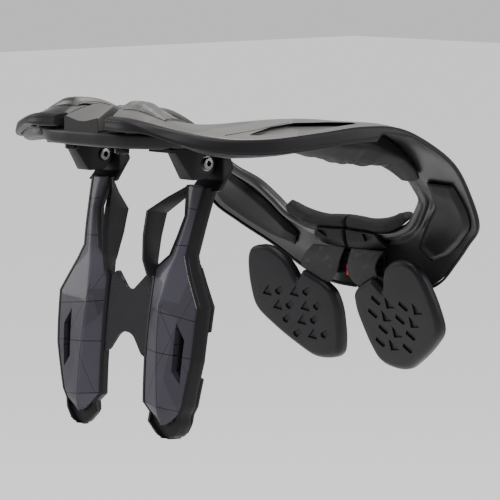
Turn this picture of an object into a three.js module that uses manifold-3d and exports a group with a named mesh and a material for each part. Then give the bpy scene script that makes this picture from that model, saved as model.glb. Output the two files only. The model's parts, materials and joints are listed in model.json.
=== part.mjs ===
import * as THREE from 'three';
import Module from 'manifold-3d';
import { mergeVertices } from 'three/addons/utils/BufferGeometryUtils.js';

// Motocross neck brace, millimetres. The wearer faces +Y, +X is the wearer's right, +Z is up.
// The origin is the middle of the neck opening, level with the inner edge of the shoulder decks.

// ring
const ringHalfWidth = 152;
const ringRearReach = 162;
const ringFrontReach = 136;
const frontDrop = 142;
const neckHalfWidth = 100;
const neckRearReach = 114;
const neckFrontReach = 113;
const deckWall = 3.2;
const humpHeight = 7;
const lipHeight = 9;
const rimWidth = 11;
const rimHeight = 18;
const ringSteps = 44;

// soft parts on the ring
const padGap = 0.3;
const shoulderPadDepth = 27;
const rearPadThickness = 4;
const collarPadHeight = 10;
const collarPadDepth = 15;
const panelHeight = 4;
const panelGap = 1.1;
const keelBulge = 5;

// front closure and chest pads
const halfGap = 0.4;
const latchHeight = 9;
const latchDepth = 11;
const strapThickness = 2.6;
const strapWidth = 35;
const strapInnerX = 4;
const strapBow = 5;
const strapShift = 3;
const barThickness = 3;
const barLength = 34;
const barHeight = 20;
const tabGap = 0.5;
const chestPadWidth = 106;
const chestPadHeight = 94;
const chestPadThickness = 10;
const chestPadTop = -114;
const chestPadY = 96;
const chestPadLean = 0.36;
const chestPadTurn = 0.05;
const chestPadBevel = 4;
const tabWidth = 9;
const tabHeight = 9;
const tabThickness = 2;

// rear table and its hinges
const tableTop = -5.4;
const tableThickness = 11;
const tableHalfWidth = 78;
const tableRearEdge = 170;
const tableFrontEdge = 98;
const saddleHeight = 19;
const saddleHalfWidth = 19;
const hingeX = 28;
const hingeY = -154;
const hingePinRadius = 3;
const hingeClearance = 0.4;
const hingeNutRadius = 6;
const hingeNutHeight = 4;
const bossRadius = 6.8;

// brackets and bolts that carry the wings
const bracketPlateThickness = 2;
const bracketPlateLength = 48;
const bracketPlateWidth = 24;
const bracketInnerX = 50;
const bracketOuterX = 66;
const bracketLength = 38;
const bracketDepth = 22;
const clevisWidth = 7;
const pivotY = -104.5;
const pivotZ = -29;
const boltRadius = 2.6;
const boltHeadRadius = 4.6;
const boltHeadHeight = 2.4;

// scapula wings
const wingLength = 186;
const wingTop = -46;
const wingWidth = 90;
const wingBow = 27;
const wingFaceY = -105;
const coverThickness = 3;
const coverRidge = 4.5;
const frameDepth = 7;
const innerFlare = 0.8;
const outerFlare = 4.5;
const wingPadThickness = 6;
const wingPadRecess = 5;
const wingPadGap = 1.5;
const branchThickness = 4;
const branchRise = 13;
const webThickness = 3;
const webDepth = 2;
const slotLength = 44;
const slotWidth = 8;

const wasm = await Module();
wasm.setup();

const finish = {
  deck: { color: 0x55524f, roughness: 0.45, metalness: 0.1 },
  rim: { color: 0x1c1c1f, roughness: 0.5, metalness: 0 },
  table: { color: 0x3b393a, roughness: 0.5, metalness: 0.1 },
  foam: { color: 0x1b1b1e, roughness: 0.8, metalness: 0 },
  leather: { color: 0x8d8c8b, roughness: 0.5, metalness: 0.1 },
  shell: { color: 0x232326, roughness: 0.4, metalness: 0 },
  rubber: { color: 0x26262a, roughness: 0.75, metalness: 0 },
  panel: { color: 0x5c5a66, roughness: 0.45, metalness: 0.1 },
  red: { color: 0xb3262b, roughness: 0.45, metalness: 0 },
  steel: { color: 0x7d7d80, roughness: 0.35, metalness: 0.9 },
};

const brace = new THREE.Group();

function addPiece(name, geometry, kind) {
  geometry.computeVertexNormals();
  const mesh = new THREE.Mesh(geometry, new THREE.MeshStandardMaterial(finish[kind]));
  mesh.name = name;
  brace.add(mesh);
}

function mirrored(geometry) {
  const copy = geometry.clone();
  copy.scale(-1, 1, 1);
  const order = Array.from(copy.index.array);
  for (let i = 0; i < order.length; i += 3) {
    [order[i], order[i + 1]] = [order[i + 1], order[i]];
  }
  copy.setIndex(order);
  return copy;
}

function addPair(name, geometry, kind) {
  addPiece(`${name}_right`, geometry, kind);
  addPiece(`${name}_left`, mirrored(geometry), kind);
}

// closed body from points and triangles, turned so that its faces point outwards
function closedBody(points, triangles) {
  const volume = triangles.reduce((sum, [a, b, c]) => {
    return sum + points[a].dot(new THREE.Vector3().crossVectors(points[b], points[c]));
  }, 0);
  const order = volume < 0 ? triangles.map(([a, b, c]) => [a, c, b]) : triangles;
  const geometry = new THREE.BufferGeometry();
  const flat = points.flatMap((p) => [p.x, p.y, p.z]);
  geometry.setAttribute('position', new THREE.Float32BufferAttribute(flat, 3));
  geometry.setIndex(order.flat());
  return geometry;
}

// skin over rings of equally many points; each ring keeps its flat outline for the end caps
function loft(rings) {
  const count = rings[0].points.length;
  const points = rings.flatMap((ring) => ring.points);
  const triangles = [];
  for (let r = 0; r + 1 < rings.length; r += 1) {
    for (let i = 0; i < count; i += 1) {
      const a = r * count + i;
      const b = r * count + ((i + 1) % count);
      triangles.push([a, b, a + count], [b, b + count, a + count]);
    }
  }
  const cap = (ring) => THREE.ShapeUtils.triangulateShape(ring.flat, []);
  const clockwise = THREE.ShapeUtils.isClockWise(rings[0].flat);
  const facing = ([a, b, c]) => (clockwise ? [a, c, b] : [a, b, c]);
  const last = (rings.length - 1) * count;
  for (const face of cap(rings[0])) {
    const [a, b, c] = ordered(rings[0].flat, face);
    triangles.push(clockwise ? [a, b, c] : [a, c, b]);
  }
  for (const face of cap(rings[rings.length - 1])) {
    const [a, b, c] = facing(ordered(rings[rings.length - 1].flat, face));
    triangles.push([a + last, b + last, c + last]);
  }
  return closedBody(points, triangles);
}

// three corners of a flat outline, put anticlockwise
function ordered(flat, [a, b, c]) {
  const turn = (flat[b].x - flat[a].x) * (flat[c].y - flat[a].y)
    - (flat[b].y - flat[a].y) * (flat[c].x - flat[a].x);
  return turn < 0 ? [a, c, b] : [a, b, c];
}

function solidOf(geometry) {
  const copy = geometry.clone();
  copy.deleteAttribute('normal');
  copy.deleteAttribute('uv');
  const merged = mergeVertices(copy, 1e-4);
  return new wasm.Manifold(new wasm.Mesh({
    numProp: 3,
    vertProperties: new Float32Array(merged.attributes.position.array),
    triVerts: new Uint32Array(merged.index.array),
  }));
}

function geometryOf(solid) {
  const mesh = solid.getMesh();
  const geometry = new THREE.BufferGeometry();
  geometry.setAttribute('position', new THREE.BufferAttribute(new Float32Array(mesh.vertProperties), 3));
  geometry.setIndex(Array.from(mesh.triVerts));
  return geometry;
}

const cut = (body, ...tools) => {
  const rest = tools.reduce((left, tool) => left.subtract(solidOf(tool)), solidOf(body));
  return geometryOf(rest);
};
const join = (...bodies) => geometryOf(bodies.map(solidOf).reduce((all, part) => all.add(part)));

function box(minimum, maximum) {
  const size = maximum.map((v, i) => v - minimum[i]);
  const geometry = new THREE.BoxGeometry(...size);
  return geometry.translate(...minimum.map((v, i) => v + size[i] / 2));
}

function cylinderAlong(axis, radius, from, to, centre, sides = 16) {
  const geometry = new THREE.CylinderGeometry(radius, radius, to - from, sides);
  if (axis === 'x') geometry.rotateZ(Math.PI / 2);
  if (axis === 'z') geometry.rotateX(Math.PI / 2);
  const middle = (from + to) / 2;
  const place = axis === 'x' ? [middle, centre[0], centre[1]] : [centre[0], centre[1], middle];
  return geometry.translate(...place);
}

// rows of numbers, read at a fractional row through a smooth curve
function smoothRow(rows, t) {
  const i = Math.min(Math.floor(t), rows.length - 2);
  const f = t - i;
  const row = (k) => rows[Math.max(0, Math.min(rows.length - 1, k))];
  return rows[i].map((value, c) => {
    const before = i === 0 ? 2 * row(0)[c] - row(1)[c] : row(i - 1)[c];
    const after = i + 2 > rows.length - 1 ? 2 * row(i + 1)[c] - row(i)[c] : row(i + 2)[c];
    const next = row(i + 1)[c];
    return value + 0.5 * f * (next - before + f * (2 * before - 5 * value + 4 * next - after
      + f * (3 * (value - next) + after - before)));
  });
}

function straightRow(rows, t) {
  const i = Math.max(0, Math.min(Math.floor(t), rows.length - 2));
  return rows[i].map((value, c) => value + (rows[i + 1][c] - value) * (t - i));
}

// Right arm of the ring from its rear end to the front closure. Inner edge as shares of the neck
// sizes, outer edge as shares of the ring sizes, heights as shares of the front drop, then the
// hump, lip, rim width, rim drop and rim height as shares of theirs.
const armRows = [
  // inX, inY, inZ, outX, outY, outZ, hump, lip, rimOut, rimDrop, rimTall
  [0.08, -1, 0.02, 0.16, -0.99, 0.042, 0.9, 0.45, 0.95, 0.1, 0.55],
  [0.24, -1, 0.018, 0.3, -1, 0.04, 1, 0.45, 0.95, 0.12, 0.55],
  [0.45, -0.985, 0.002, 0.43, -0.98, 0.02, 0.68, 0.45, 0.8, 0.22, 0.42],
  [0.61, -0.93, -0.002, 0.585, -0.925, -0.014, 0.24, 0.45, 0.55, 0.4, 0.5],
  [0.73, -0.85, 0.004, 0.705, -0.855, -0.038, 0.24, 0.45, 0.4, 0.5, 0.56],
  [0.8, -0.745, 0.012, 0.79, -0.765, -0.052, 0.22, 0.45, 0.34, 0.5, 0.6],
  [0.85, -0.52, 0.018, 0.865, -0.6, -0.052, 0.22, 0.45, 0.3, 0.5, 0.64],
  [0.9, -0.29, 0.014, 0.905, -0.36, -0.034, 0.24, 0.45, 0.24, 0.5, 0.68],
  [0.93, -0.1, -0.002, 0.93, -0.12, -0.016, 0.26, 0.5, 0.24, 0.5, 0.6],
  [0.955, 0.09, -0.035, 0.945, 0.12, -0.036, 0.26, 0.55, 0.22, 0.22, 0.26],
  [0.98, 0.35, -0.14, 0.96, 0.33, -0.12, 0.26, 0.65, 0.22, 0.2, 0.24],
  [1, 0.55, -0.268, 0.965, 0.53, -0.245, 0.26, 0.75, 0.22, 0.2, 0.24],
  [0.985, 0.69, -0.355, 0.972, 0.65, -0.41, 0.26, 0.85, 0.22, 0.2, 0.24],
  [0.9, 0.86, -0.435, 0.965, 0.735, -0.585, 0.26, 1, 0.2, 0.2, 0.24],
  [0.78, 0.93, -0.52, 0.83, 0.815, -0.7, 0.26, 1, 0.2, 0.2, 0.24],
  [0.65, 0.965, -0.6, 0.665, 0.91, -0.815, 0.26, 1, 0.2, 0.2, 0.24],
  [0.48, 0.99, -0.645, 0.5, 0.98, -0.935, 0.26, 1, 0.2, 0.2, 0.24],
  [0.3, 1, -0.665, 0.36, 0.985, -0.99, 0.26, 1, 0.2, 0.2, 0.24],
  [0.15, 1, -0.67, 0.17, 0.92, -1, 0.22, 1, 0.2, 0.2, 0.24],
  [0, 1, -0.67, 0, 0.88, -1, 0.22, 1, 0.2, 0.2, 0.24],
];
const armEnd = armRows.length - 1;

function armRow(t) {
  const [inX, inY, inZ, outX, outY, outZ, hump, lip, rimOut, rimDrop, rimTall] = smoothRow(armRows, t);
  const inner = new THREE.Vector3(
    halfGap + inX * neckHalfWidth,
    inY * (inY < 0 ? neckRearReach : neckFrontReach),
    inZ * frontDrop,
  );
  const outer = new THREE.Vector3(
    halfGap + outX * ringHalfWidth,
    outY * (outY < 0 ? ringRearReach : ringFrontReach),
    outZ * frontDrop,
  );
  return { inner, outer, hump, lip, rimOut, rimDrop, rimTall };
}

// local frame of the arm at t: across points outwards over the deck, up leaves its top face
function armFrame(t) {
  const row = armRow(t);
  const step = 0.02;
  const middle = (s) => {
    const r = armRow(s);
    return r.inner.clone().add(r.outer).multiplyScalar(0.5);
  };
  const along = middle(Math.min(t + step, armEnd)).sub(middle(Math.max(t - step, 0))).normalize();
  const across = row.outer.clone().sub(row.inner).normalize();
  const up = new THREE.Vector3().crossVectors(across, along).normalize();
  return { ...row, across, up };
}

const humpShape = [[0, 0], [0.15, 0.35], [0.45, 0.8], [0.74, 1], [0.88, 0.6], [1, 0]];

function humpLift(frame, u) {
  const i = humpShape.findIndex(([at], k) => k > 0 && u <= at + 1e-9);
  const [u0, h0] = humpShape[i - 1];
  const [u1, h1] = humpShape[i];
  return (h0 + (h1 - h0) * (u - u0) / (u1 - u0)) * frame.hump * humpHeight;
}

function armPoint(frame, u, out, lift) {
  return frame.inner.clone().lerp(frame.outer, u)
    .addScaledVector(frame.across, out)
    .addScaledVector(frame.up, lift);
}

// stations from one row to another, on the same steps for every piece so that they lie parallel
function armStations(from, to) {
  const step = armEnd / ringSteps;
  const stations = [from];
  for (let k = Math.floor(from / step) + 1; k * step < to - step * 0.1; k += 1) {
    if (k * step > from + step * 0.1) stations.push(k * step);
  }
  return [...stations, to];
}

// solid along the arm between two stations; outline gives [u, out, lift] for a frame
function alongArm(from, to, outline) {
  return loft(armStations(from, to).map((t) => {
    const frame = armFrame(t);
    const corners = outline(frame, t, (t - from) / (to - from));
    const width = frame.inner.distanceTo(frame.outer);
    return {
      points: corners.map(([u, out, lift]) => armPoint(frame, u, out, lift)),
      flat: corners.map(([u, out, lift]) => new THREE.Vector2(u * width + out, lift)),
    };
  }));
}

function deckOutline(frame) {
  const lip = frame.lip * lipHeight;
  const top = humpShape.slice(1).map(([u]) => [u, 0, humpLift(frame, u)]);
  const under = top.map(([u, out, lift]) => [u, out, lift - deckWall]).reverse();
  return [
    [0, 0.08 * lip, -0.3 * lip], [0, 0.35 * lip, 0], ...top,
    ...under, [0, 1.15 * lip, -deckWall], [0, 0.95 * lip, -0.8 * lip], [0, 0.5 * lip, -lip],
    [0, 0.1 * lip, -0.75 * lip],
  ];
}

function rimOutline(frame) {
  const out = Math.max(frame.rimOut * rimWidth, 2);
  const drop = frame.rimDrop * rimHeight;
  const tall = frame.rimTall * rimHeight;
  const start = padGap;
  return [
    [1, start, 0], [1, out, -drop], [1, out - 0.6, -drop - 0.25 * (tall - drop)],
    [1, out, -drop - 0.75 * (tall - drop)], [1, out - 0.8, -tall], [1, start, -tall],
  ];
}

function hingeHole(radius, depthTop) {
  return cylinderAlong('z', radius, tableTop - tableThickness - 1, depthTop, [hingeX, hingeY]);
}

function armDeck() {
  const deck = alongArm(0, armEnd, deckOutline);
  const rearFrame = armFrame(1);
  const crest = armPoint(rearFrame, 0.74, 0, humpHeight);
  const bossTop = crest.z - deckWall / 2;
  const boss = cylinderAlong('z', bossRadius, tableTop + hingeClearance, bossTop, [hingeX, hingeY]);
  return cut(join(deck, boss), hingeHole(hingePinRadius + hingeClearance, crest.z - 2 * deckWall));
}

const armRim = () => alongArm(0, armEnd, rimOutline);

// depth of the shoulder pad below the deck, from behind the neck to the front of the shoulder
const shoulderRows = [
  // station, depth, inner overhang, outer reach past the lip
  [4.8, 0.25, 0, 0.32], [6, 0.5, 0.08, 0.44], [7.2, 0.85, 0.12, 0.46], [8.5, 1, 0.14, 0.4],
  [9.5, 0.8, 0.14, 0.32], [10.3, 0.32, 0.1, 0.22], [10.9, 0.16, 0.06, 0.13], [11.4, 0.1, 0.02, 0.05],
];

function shoulderPad() {
  return alongArm(shoulderRows[0][0], shoulderRows[shoulderRows.length - 1][0], (frame, t) => {
    const k = shoulderRows.findIndex(([s], i) => i > 0 && t <= s + 1e-9);
    const f = (t - shoulderRows[k - 1][0]) / (shoulderRows[k][0] - shoulderRows[k - 1][0]);
    const [, depthShare, overhang, reach] = straightRow(shoulderRows, k - 1 + f);
    const top = -frame.lip * lipHeight - padGap;
    const deep = depthShare * shoulderPadDepth;
    const bottom = top - deep;
    const inner = -overhang * shoulderPadDepth;
    const roof = -deckWall - padGap;
    const lipEnd = 1.15 * frame.lip * lipHeight + padGap;
    return [
      [0, inner, top - 0.1 * deep], [0, inner + 2, top], [0, lipEnd, top], [0, lipEnd + 1, roof],
      [reach, lipEnd + 2, roof], [reach, lipEnd + 5, (roof + bottom) / 2],
      [reach * 0.7, 0.7 * lipEnd + 2, bottom + 0.1 * deep], [reach * 0.3, 0.3 * lipEnd + 1, bottom],
      [0, inner + 2.5, bottom + 0.05 * deep], [0, inner, bottom + 0.3 * deep],
    ];
  });
}

function rearPad() {
  return alongArm(0.15, 2.3, (frame, t, share) => {
    const thick = rearPadThickness * (1 - 1.6 * Math.max(0, share - 0.7));
    const deck = (u) => humpLift(frame, u) + padGap;
    return [
      [0.02, 0, deck(0.02) + 0.3 * thick], [0.15, 0, deck(0.15)], [0.45, 0, deck(0.45)],
      [0.74, 0, deck(0.74)],
      [0.82, 0, deck(0.82)], [0.8, 0, deck(0.8) + thick * 0.6], [0.7, 0, deck(0.7) + thick],
      [0.45, 0, deck(0.45) + thick * 1.2], [0.15, 0, deck(0.15) + thick], [0.04, 0, deck(0.04) + thick * 0.7],
    ];
  });
}

function collarPad() {
  return alongArm(14.7, armEnd, (frame, t, share) => {
    const swell = Math.min(1, 0.7 + share * 3);
    const high = collarPadHeight * swell;
    const front = 3;
    const back = front - collarPadDepth * Math.min(1, 0.7 + share);
    return [
      [0, -padGap, front - 1], [0, -high * 0.5, front], [0, -high * 0.9, front - 2.5],
      [0, -high, front * 0.5 + back * 0.5], [0, -high * 0.85, back + 2], [0, -high * 0.4, back],
      [0, -padGap, back + 2],
    ];
  });
}

// raised moulded panel on the chest side of the front plate
const panelRows = [
  // u from, u to
  [0.32, 0.8], [0.28, 0.88], [0.27, 0.9], [0.27, 0.9], [0.3, 0.86], [0.4, 0.72],
];

function platePanel() {
  return alongArm(11.7, 15.6, (frame, t, share) => {
    const [inner, outer] = straightRow(panelRows, share * (panelRows.length - 1));
    const deck = (u) => humpLift(frame, u) - deckWall - panelGap;
    const rise = panelHeight * Math.min(1, 0.5 + 4 * Math.min(share, 1 - share));
    const across = [0, 0.25, 0.5, 0.75, 1].map((f) => inner + (outer - inner) * f);
    const bevel = 2.5;
    return [
      ...across.map((u) => [u, 0, deck(u)]),
      ...across.map((u, k) => [u, bevel * (k === 0) - bevel * (k === 4), deck(u) - rise]).reverse(),
    ];
  });
}

function latchBlock() {
  const lipSpan = 1.15 * lipHeight + padGap;
  return alongArm(16.9, armEnd, (frame, t, share) => {
    const roof = -lipHeight - padGap;
    const high = latchHeight * Math.min(1, 0.75 + share);
    return [
      [0, 0.5, roof], [0, lipSpan, roof], [0, lipSpan, -deckWall - 2 * padGap],
      [0, lipSpan + high * 0.5, -deckWall - 2 * padGap], [0, lipSpan + high * 0.5, -latchDepth],
      [0, high, -latchDepth - 1.5], [0, 0.5, -latchDepth - 1.5],
    ];
  });
}

// chest pad outline in its own plane: shares of its width outwards and of its height downwards
const chestRows = [
  // across, down
  [0.113, 0.351], [0.189, 0.277], [0.368, 0.186], [0.453, 0.293], [0.486, 0.181], [0.538, 0.085],
  [0.66, 0.009], [0.764, 0.003], [0.868, 0.037], [0.925, 0.128], [0.972, 0.309], [0.991, 0.532],
  [0.953, 0.628], [0.755, 0.809], [0.509, 0.973], [0.396, 0.984], [0.274, 0.963], [0.198, 0.91],
  [0.142, 0.755], [0.094, 0.5],
];

function chestPoint(x, z, depth) {
  const middleX = chestPadWidth * 0.43;
  const middleZ = chestPadTop - chestPadHeight * 0.33;
  const y = chestPadY - chestPadTurn * (x - middleX) - chestPadLean * (z - middleZ) + depth;
  return new THREE.Vector3(x, y, z);
}

// outline moved inwards by a distance, corner by corner
function inset(outline, distance) {
  const sign = THREE.ShapeUtils.isClockWise(outline) ? -1 : 1;
  return outline.map((corner, i) => {
    const before = outline[(i + outline.length - 1) % outline.length];
    const after = outline[(i + 1) % outline.length];
    const inward = (a, b) => new THREE.Vector2(-(b.y - a.y), b.x - a.x).normalize().multiplyScalar(sign);
    const n1 = inward(before, corner);
    const n2 = inward(corner, after);
    const bisector = n1.clone().add(n2).normalize();
    return corner.clone().addScaledVector(bisector, distance / Math.max(0.5, bisector.dot(n1)));
  });
}

// layered solid: each layer is the outline moved inwards and set at a depth
function layered(outline, layers, place) {
  return loft(layers.map(([inward, depth]) => {
    const flat = inset(outline, inward);
    return { flat, points: flat.map((p) => place(p.x, p.y, depth)) };
  }));
}

const chestOutline = chestRows.map(([across, down]) => (
  new THREE.Vector2(across * chestPadWidth, chestPadTop - down * chestPadHeight)
));

function chestPad() {
  const bevel = chestPadBevel;
  const layers = [
    [bevel * 0.8, 0], [bevel * 0.25, bevel * 0.35], [0, bevel],
    [0, chestPadThickness - 2], [1.5, chestPadThickness],
  ];
  return layered(chestOutline, layers, chestPoint);
}

// chest face of the latch bars and the lower end of the latch block, at the middle plane
function closurePlace() {
  const frame = armFrame(armEnd);
  const middle = frame.inner.clone().lerp(frame.outer, 0.62);
  const blockEnd = armPoint(frame, 0, 1.15 * lipHeight + padGap + latchHeight * 0.5, -latchDepth);
  const barY = middle.y - deckWall - 2 * padGap - barThickness;
  return { barY, barZ: middle.z, strapTop: blockEnd.z - 2 * padGap };
}

// strap from under the latch block to the inner top edge of the chest pad
function strap() {
  const columns = 4;
  const rows = 8;
  const [tabA, tabB] = [chestOutline[1], chestOutline[2]];
  const { barY, strapTop } = closurePlace();
  const startY = barY - tabGap - tabThickness - padGap - strapThickness;
  const edgeZ = (x) => tabA.y + ((x - tabA.x) * (tabB.y - tabA.y)) / (tabB.x - tabA.x);
  const rings = [];
  for (let k = 0; k <= rows; k += 1) {
    const s = k / rows;
    const front = [];
    const back = [];
    for (let c = 0; c <= columns; c += 1) {
      const x = strapInnerX + (strapWidth * c) / columns + strapShift * s;
      const endZ = edgeZ(x) + padGap + 0.2;
      const end = chestPoint(x, endZ, chestPadThickness * 0.4);
      const z = strapTop + (endZ - strapTop) * s;
      const y = startY + (end.y - startY) * s - strapBow * Math.sin(Math.PI * s);
      front.push(new THREE.Vector3(x, y, z));
      back.unshift(new THREE.Vector3(x, y + strapThickness, z));
    }
    const points = [...front, ...back];
    rings.push({ points, flat: points.map((p) => new THREE.Vector2(p.x, p.y)) });
  }
  return loft(rings);
}

// closed underside of the deck behind the shoulder, with the bulge that shows below the rim
const keelRows = [
  // station, inner edge, bulge
  [2.5, 0.84, 0], [3, 0.76, 0.5], [3.5, 0.6, 0.85], [4, 0.4, 1],
  [4.7, 0.56, 1], [6, 0.66, 0.6], [7.6, 0.72, 0],
];

function armKeel() {
  const from = keelRows[0][0];
  const to = keelRows[keelRows.length - 1][0];
  return alongArm(from, to, (frame, t) => {
    const k = keelRows.findIndex(([s], i) => i > 0 && t <= s + 1e-9);
    const f = (t - keelRows[k - 1][0]) / (keelRows[k][0] - keelRows[k - 1][0]);
    const [, inner, bulge] = straightRow(keelRows, k - 1 + f);
    const roof = (u) => humpLift(frame, u) - deckWall - 2 * padGap;
    const low = -frame.rimTall * rimHeight - bulge * keelBulge;
    const across = [0, 0.35, 0.7, 1].map((share) => inner + (1 - inner) * share);
    return [
      ...across.map((u) => [u, u === 1 ? -padGap : 0, roof(u)]),
      [1, -padGap, low * 0.85], [1, -3, low], [inner, 3, low], [inner, 0, low * 0.8],
    ];
  });
}

function ringHalf() {
  addPair('arm_deck', armDeck(), 'deck');
  addPair('arm_rim', armRim(), 'rim');
  addPair('arm_keel', armKeel(), 'shell');
  addPair('shoulder_pad', shoulderPad(), 'foam');
  addPair('rear_pad', rearPad(), 'leather');
  addPair('collar_pad', collarPad(), 'foam');
  addPair('plate_panel', platePanel(), 'shell');
  addPair('latch_block', latchBlock(), 'shell');
  addPair('strap', strap(), 'rubber');
  addPair('chest_pad', chestPad(), 'foam');
}

// latch bars behind the straps and the red release tab between them
function closure() {
  const { barY, barZ } = closurePlace();
  const bar = box(
    [halfGap, barY, barZ - barHeight / 2],
    [halfGap + barLength, barY + barThickness, barZ + barHeight / 2],
  );
  addPair('latch_bar', bar, 'shell');
  const tab = box(
    [-tabWidth * 0.4, barY - tabGap - tabThickness, barZ - barHeight / 2],
    [tabWidth * 0.6, barY - tabGap, barZ - barHeight / 2 + tabHeight],
  );
  addPiece('release_tab', tab, 'red');
}

// rear table: plan outline of its right half as shares of half width and the two edges
const tableRows = [
  // across, back (share of the rear edge), or front edge where it is positive
  [0, 1], [0.24, 1], [0.55, 0.985], [0.8, 0.92], [0.95, 0.84], [1, 0.72], [0.96, 0.6], [0, 0.6],
];

function rearTable() {
  const half = tableRows.map(([across, back]) => {
    const y = back === 0.6 ? tableFrontEdge : back * tableRearEdge;
    return new THREE.Vector2(across * tableHalfWidth, -y);
  });
  const left = half.slice(1, -1).map((p) => new THREE.Vector2(-p.x, p.y)).reverse();
  const outline = [...half.slice(1, -1), ...left];
  const place = (x, y, z) => new THREE.Vector3(x, y, z);
  const layers = [
    [4, tableTop - tableThickness], [0.6, tableTop - tableThickness * 0.55], [0, tableTop - 1], [1, tableTop],
  ];
  const slab = layered(outline, layers, place);
  const holes = [1, -1].map((side) => (
    cylinderAlong('z', hingePinRadius + padGap, tableTop - tableThickness - 1, tableTop + 1,
      [side * hingeX, hingeY])
  ));
  return cut(join(slab, saddle()), ...holes);
}

// raised middle of the table between the two arms
function saddle() {
  const rows = [
    // back share of the rear edge, half width share, height share at the middle, at the sides
    [0.995, 1, 0.32, 0.55], [0.94, 0.86, 0.6, 0.75], [0.87, 0.62, 1, 0.96], [0.8, 0.42, 0.8, 0.72],
    [0.71, 0.2, 0.66, 0.6],
  ];
  const base = tableTop - 2;
  return loft(rows.map(([back, half, middle, side]) => {
    const x = half * saddleHalfWidth;
    const high = tableTop + side * saddleHeight;
    const low = tableTop + middle * saddleHeight;
    const corners = [[-x, base], [x, base], [x, high], [0, low], [-x, high]];
    return {
      flat: corners.map(([px, pz]) => new THREE.Vector2(px, pz)),
      points: corners.map(([px, pz]) => new THREE.Vector3(px, -back * tableRearEdge, pz)),
    };
  }));
}

function hingePin(side) {
  const frame = armFrame(1);
  const crest = armPoint(frame, 0.74, 0, humpHeight);
  const under = tableTop - tableThickness;
  const pinTop = crest.z - 2 * deckWall - padGap;
  const shaft = cylinderAlong('z', hingePinRadius, under - hingeNutHeight / 2, pinTop,
    [side * hingeX, hingeY], 14);
  const nut = cylinderAlong('z', hingeNutRadius, under - padGap - hingeNutHeight, under - padGap,
    [side * hingeX, hingeY], 6);
  return join(shaft, nut);
}

// side outline of a bracket block behind and around the pivot
function bracketBlock() {
  const top = tableTop - tableThickness - padGap - bracketPlateThickness;
  const front = pivotY + 9;
  const corners = [
    [front, top], [front - bracketLength, top], [front - bracketLength * 0.6, top - bracketDepth],
    [front - 8, top - bracketDepth], [front, top - bracketDepth * 0.66],
  ];
  const flat = corners.map(([y, z]) => new THREE.Vector2(y, z));
  const bevel = 2;
  const layers = [
    [bevel, bracketInnerX], [0, bracketInnerX + bevel], [0, bracketOuterX - bevel], [bevel, bracketOuterX],
  ];
  const middle = (bracketInnerX + bracketOuterX) / 2;
  const block = layered(flat, layers, (y, z, x) => {
    const rear = THREE.MathUtils.clamp((front - 18 - y) / (bracketLength - 18), 0, 1);
    return new THREE.Vector3(middle + (x - middle) * (1 - 0.45 * rear), y, z);
  });
  const plateTop = top + bracketPlateThickness;
  const plate = box(
    [middle - bracketPlateWidth / 2, front - bracketPlateLength, top - 0.5],
    [middle + bracketPlateWidth / 2, front + 2, plateTop],
  );
  const gap = clevisWidth / 2 + padGap;
  const slot = box(
    [middle - gap, pivotY - 11, top - bracketDepth - 1],
    [middle + gap, front + 10, top - 1.5],
  );
  const reach = [bracketInnerX - 1, bracketOuterX + 1];
  const hole = cylinderAlong('x', boltRadius + padGap, ...reach, [pivotY, pivotZ]);
  return cut(join(block, plate), slot, hole);
}

function wingBolt() {
  const seat = bracketOuterX + padGap;
  const head = cylinderAlong('x', boltHeadRadius, seat, seat + boltHeadHeight, [pivotY, pivotZ], 12);
  const shaft = cylinderAlong('x', boltRadius, bracketInnerX, bracketOuterX + boltHeadHeight,
    [pivotY, pivotZ], 12);
  const socketReach = [bracketOuterX + 1, bracketOuterX + boltHeadHeight + 1];
  const socket = cylinderAlong('x', boltHeadRadius * 0.45, ...socketReach, [pivotY, pivotZ], 6);
  return cut(join(shaft, head), socket);
}

function rearStructure() {
  addPiece('rear_table', rearTable(), 'table');
  addPiece('hinge_pin_right', hingePin(1), 'steel');
  addPiece('hinge_pin_left', hingePin(-1), 'steel');
  addPair('wing_bracket', bracketBlock(), 'shell');
  addPiece('wing_bolt_right', wingBolt(), 'steel');
  addPiece('wing_bolt_left', wingBolt().translate(-bracketInnerX - bracketOuterX, 0, 0), 'steel');
}

// right wing, seen from behind: stations down the wing as shares of its length; edges and ridge as
// shares of its width outwards from the middle plane; ridge height as a share
const wingRows = [
  // down, inner edge, outer edge, ridge, ridge height
  [0, 0.48, 0.7, 0.59, 0.15], [0.12, 0.535, 0.672, 0.6, 0.15], [0.2, 0.49, 0.655, 0.57, 0.2],
  [0.275, 0.435, 0.635, 0.54, 0.3], [0.335, 0.278, 0.695, 0.5, 0.55], [0.468, 0.27, 0.865, 0.45, 1],
  [0.6, 0.264, 0.852, 0.46, 1], [0.68, 0.262, 0.84, 0.47, 1], [0.866, 0.265, 0.746, 0.5, 1],
  [0.9, 0.35, 0.7, 0.51, 0.8], [0.945, 0.47, 0.57, 0.52, 0.4],
];
const chinRows = [[0.94, 0.33, 0.69], [0.98, 0.42, 0.64], [1, 0.48, 0.58]];

const wingX = (share) => share * wingWidth;
const wingZ = (share) => wingTop - share * wingLength;

// the wing bows rearwards on its way down
function wingPoint(x, z, depth) {
  const down = (wingTop - z) / (wingLength * 0.94);
  return new THREE.Vector3(x, wingFaceY - wingBow * (2 * down - down * down) + depth, z);
}

function wingRow(down) {
  const k = Math.max(1, wingRows.findIndex(([d]) => down <= d + 1e-9));
  const f = (down - wingRows[k - 1][0]) / (wingRows[k][0] - wingRows[k - 1][0]);
  return straightRow(wingRows, k - 1 + f);
}

// solid down the wing; outline gives [x, depth] for a station
function alongWing(stations, outline) {
  return loft(stations.map((down) => {
    const corners = outline(down);
    return {
      points: corners.map(([x, depth]) => wingPoint(x, wingZ(down), depth)),
      flat: corners.map(([x, depth]) => new THREE.Vector2(x, depth)),
    };
  }));
}

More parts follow.
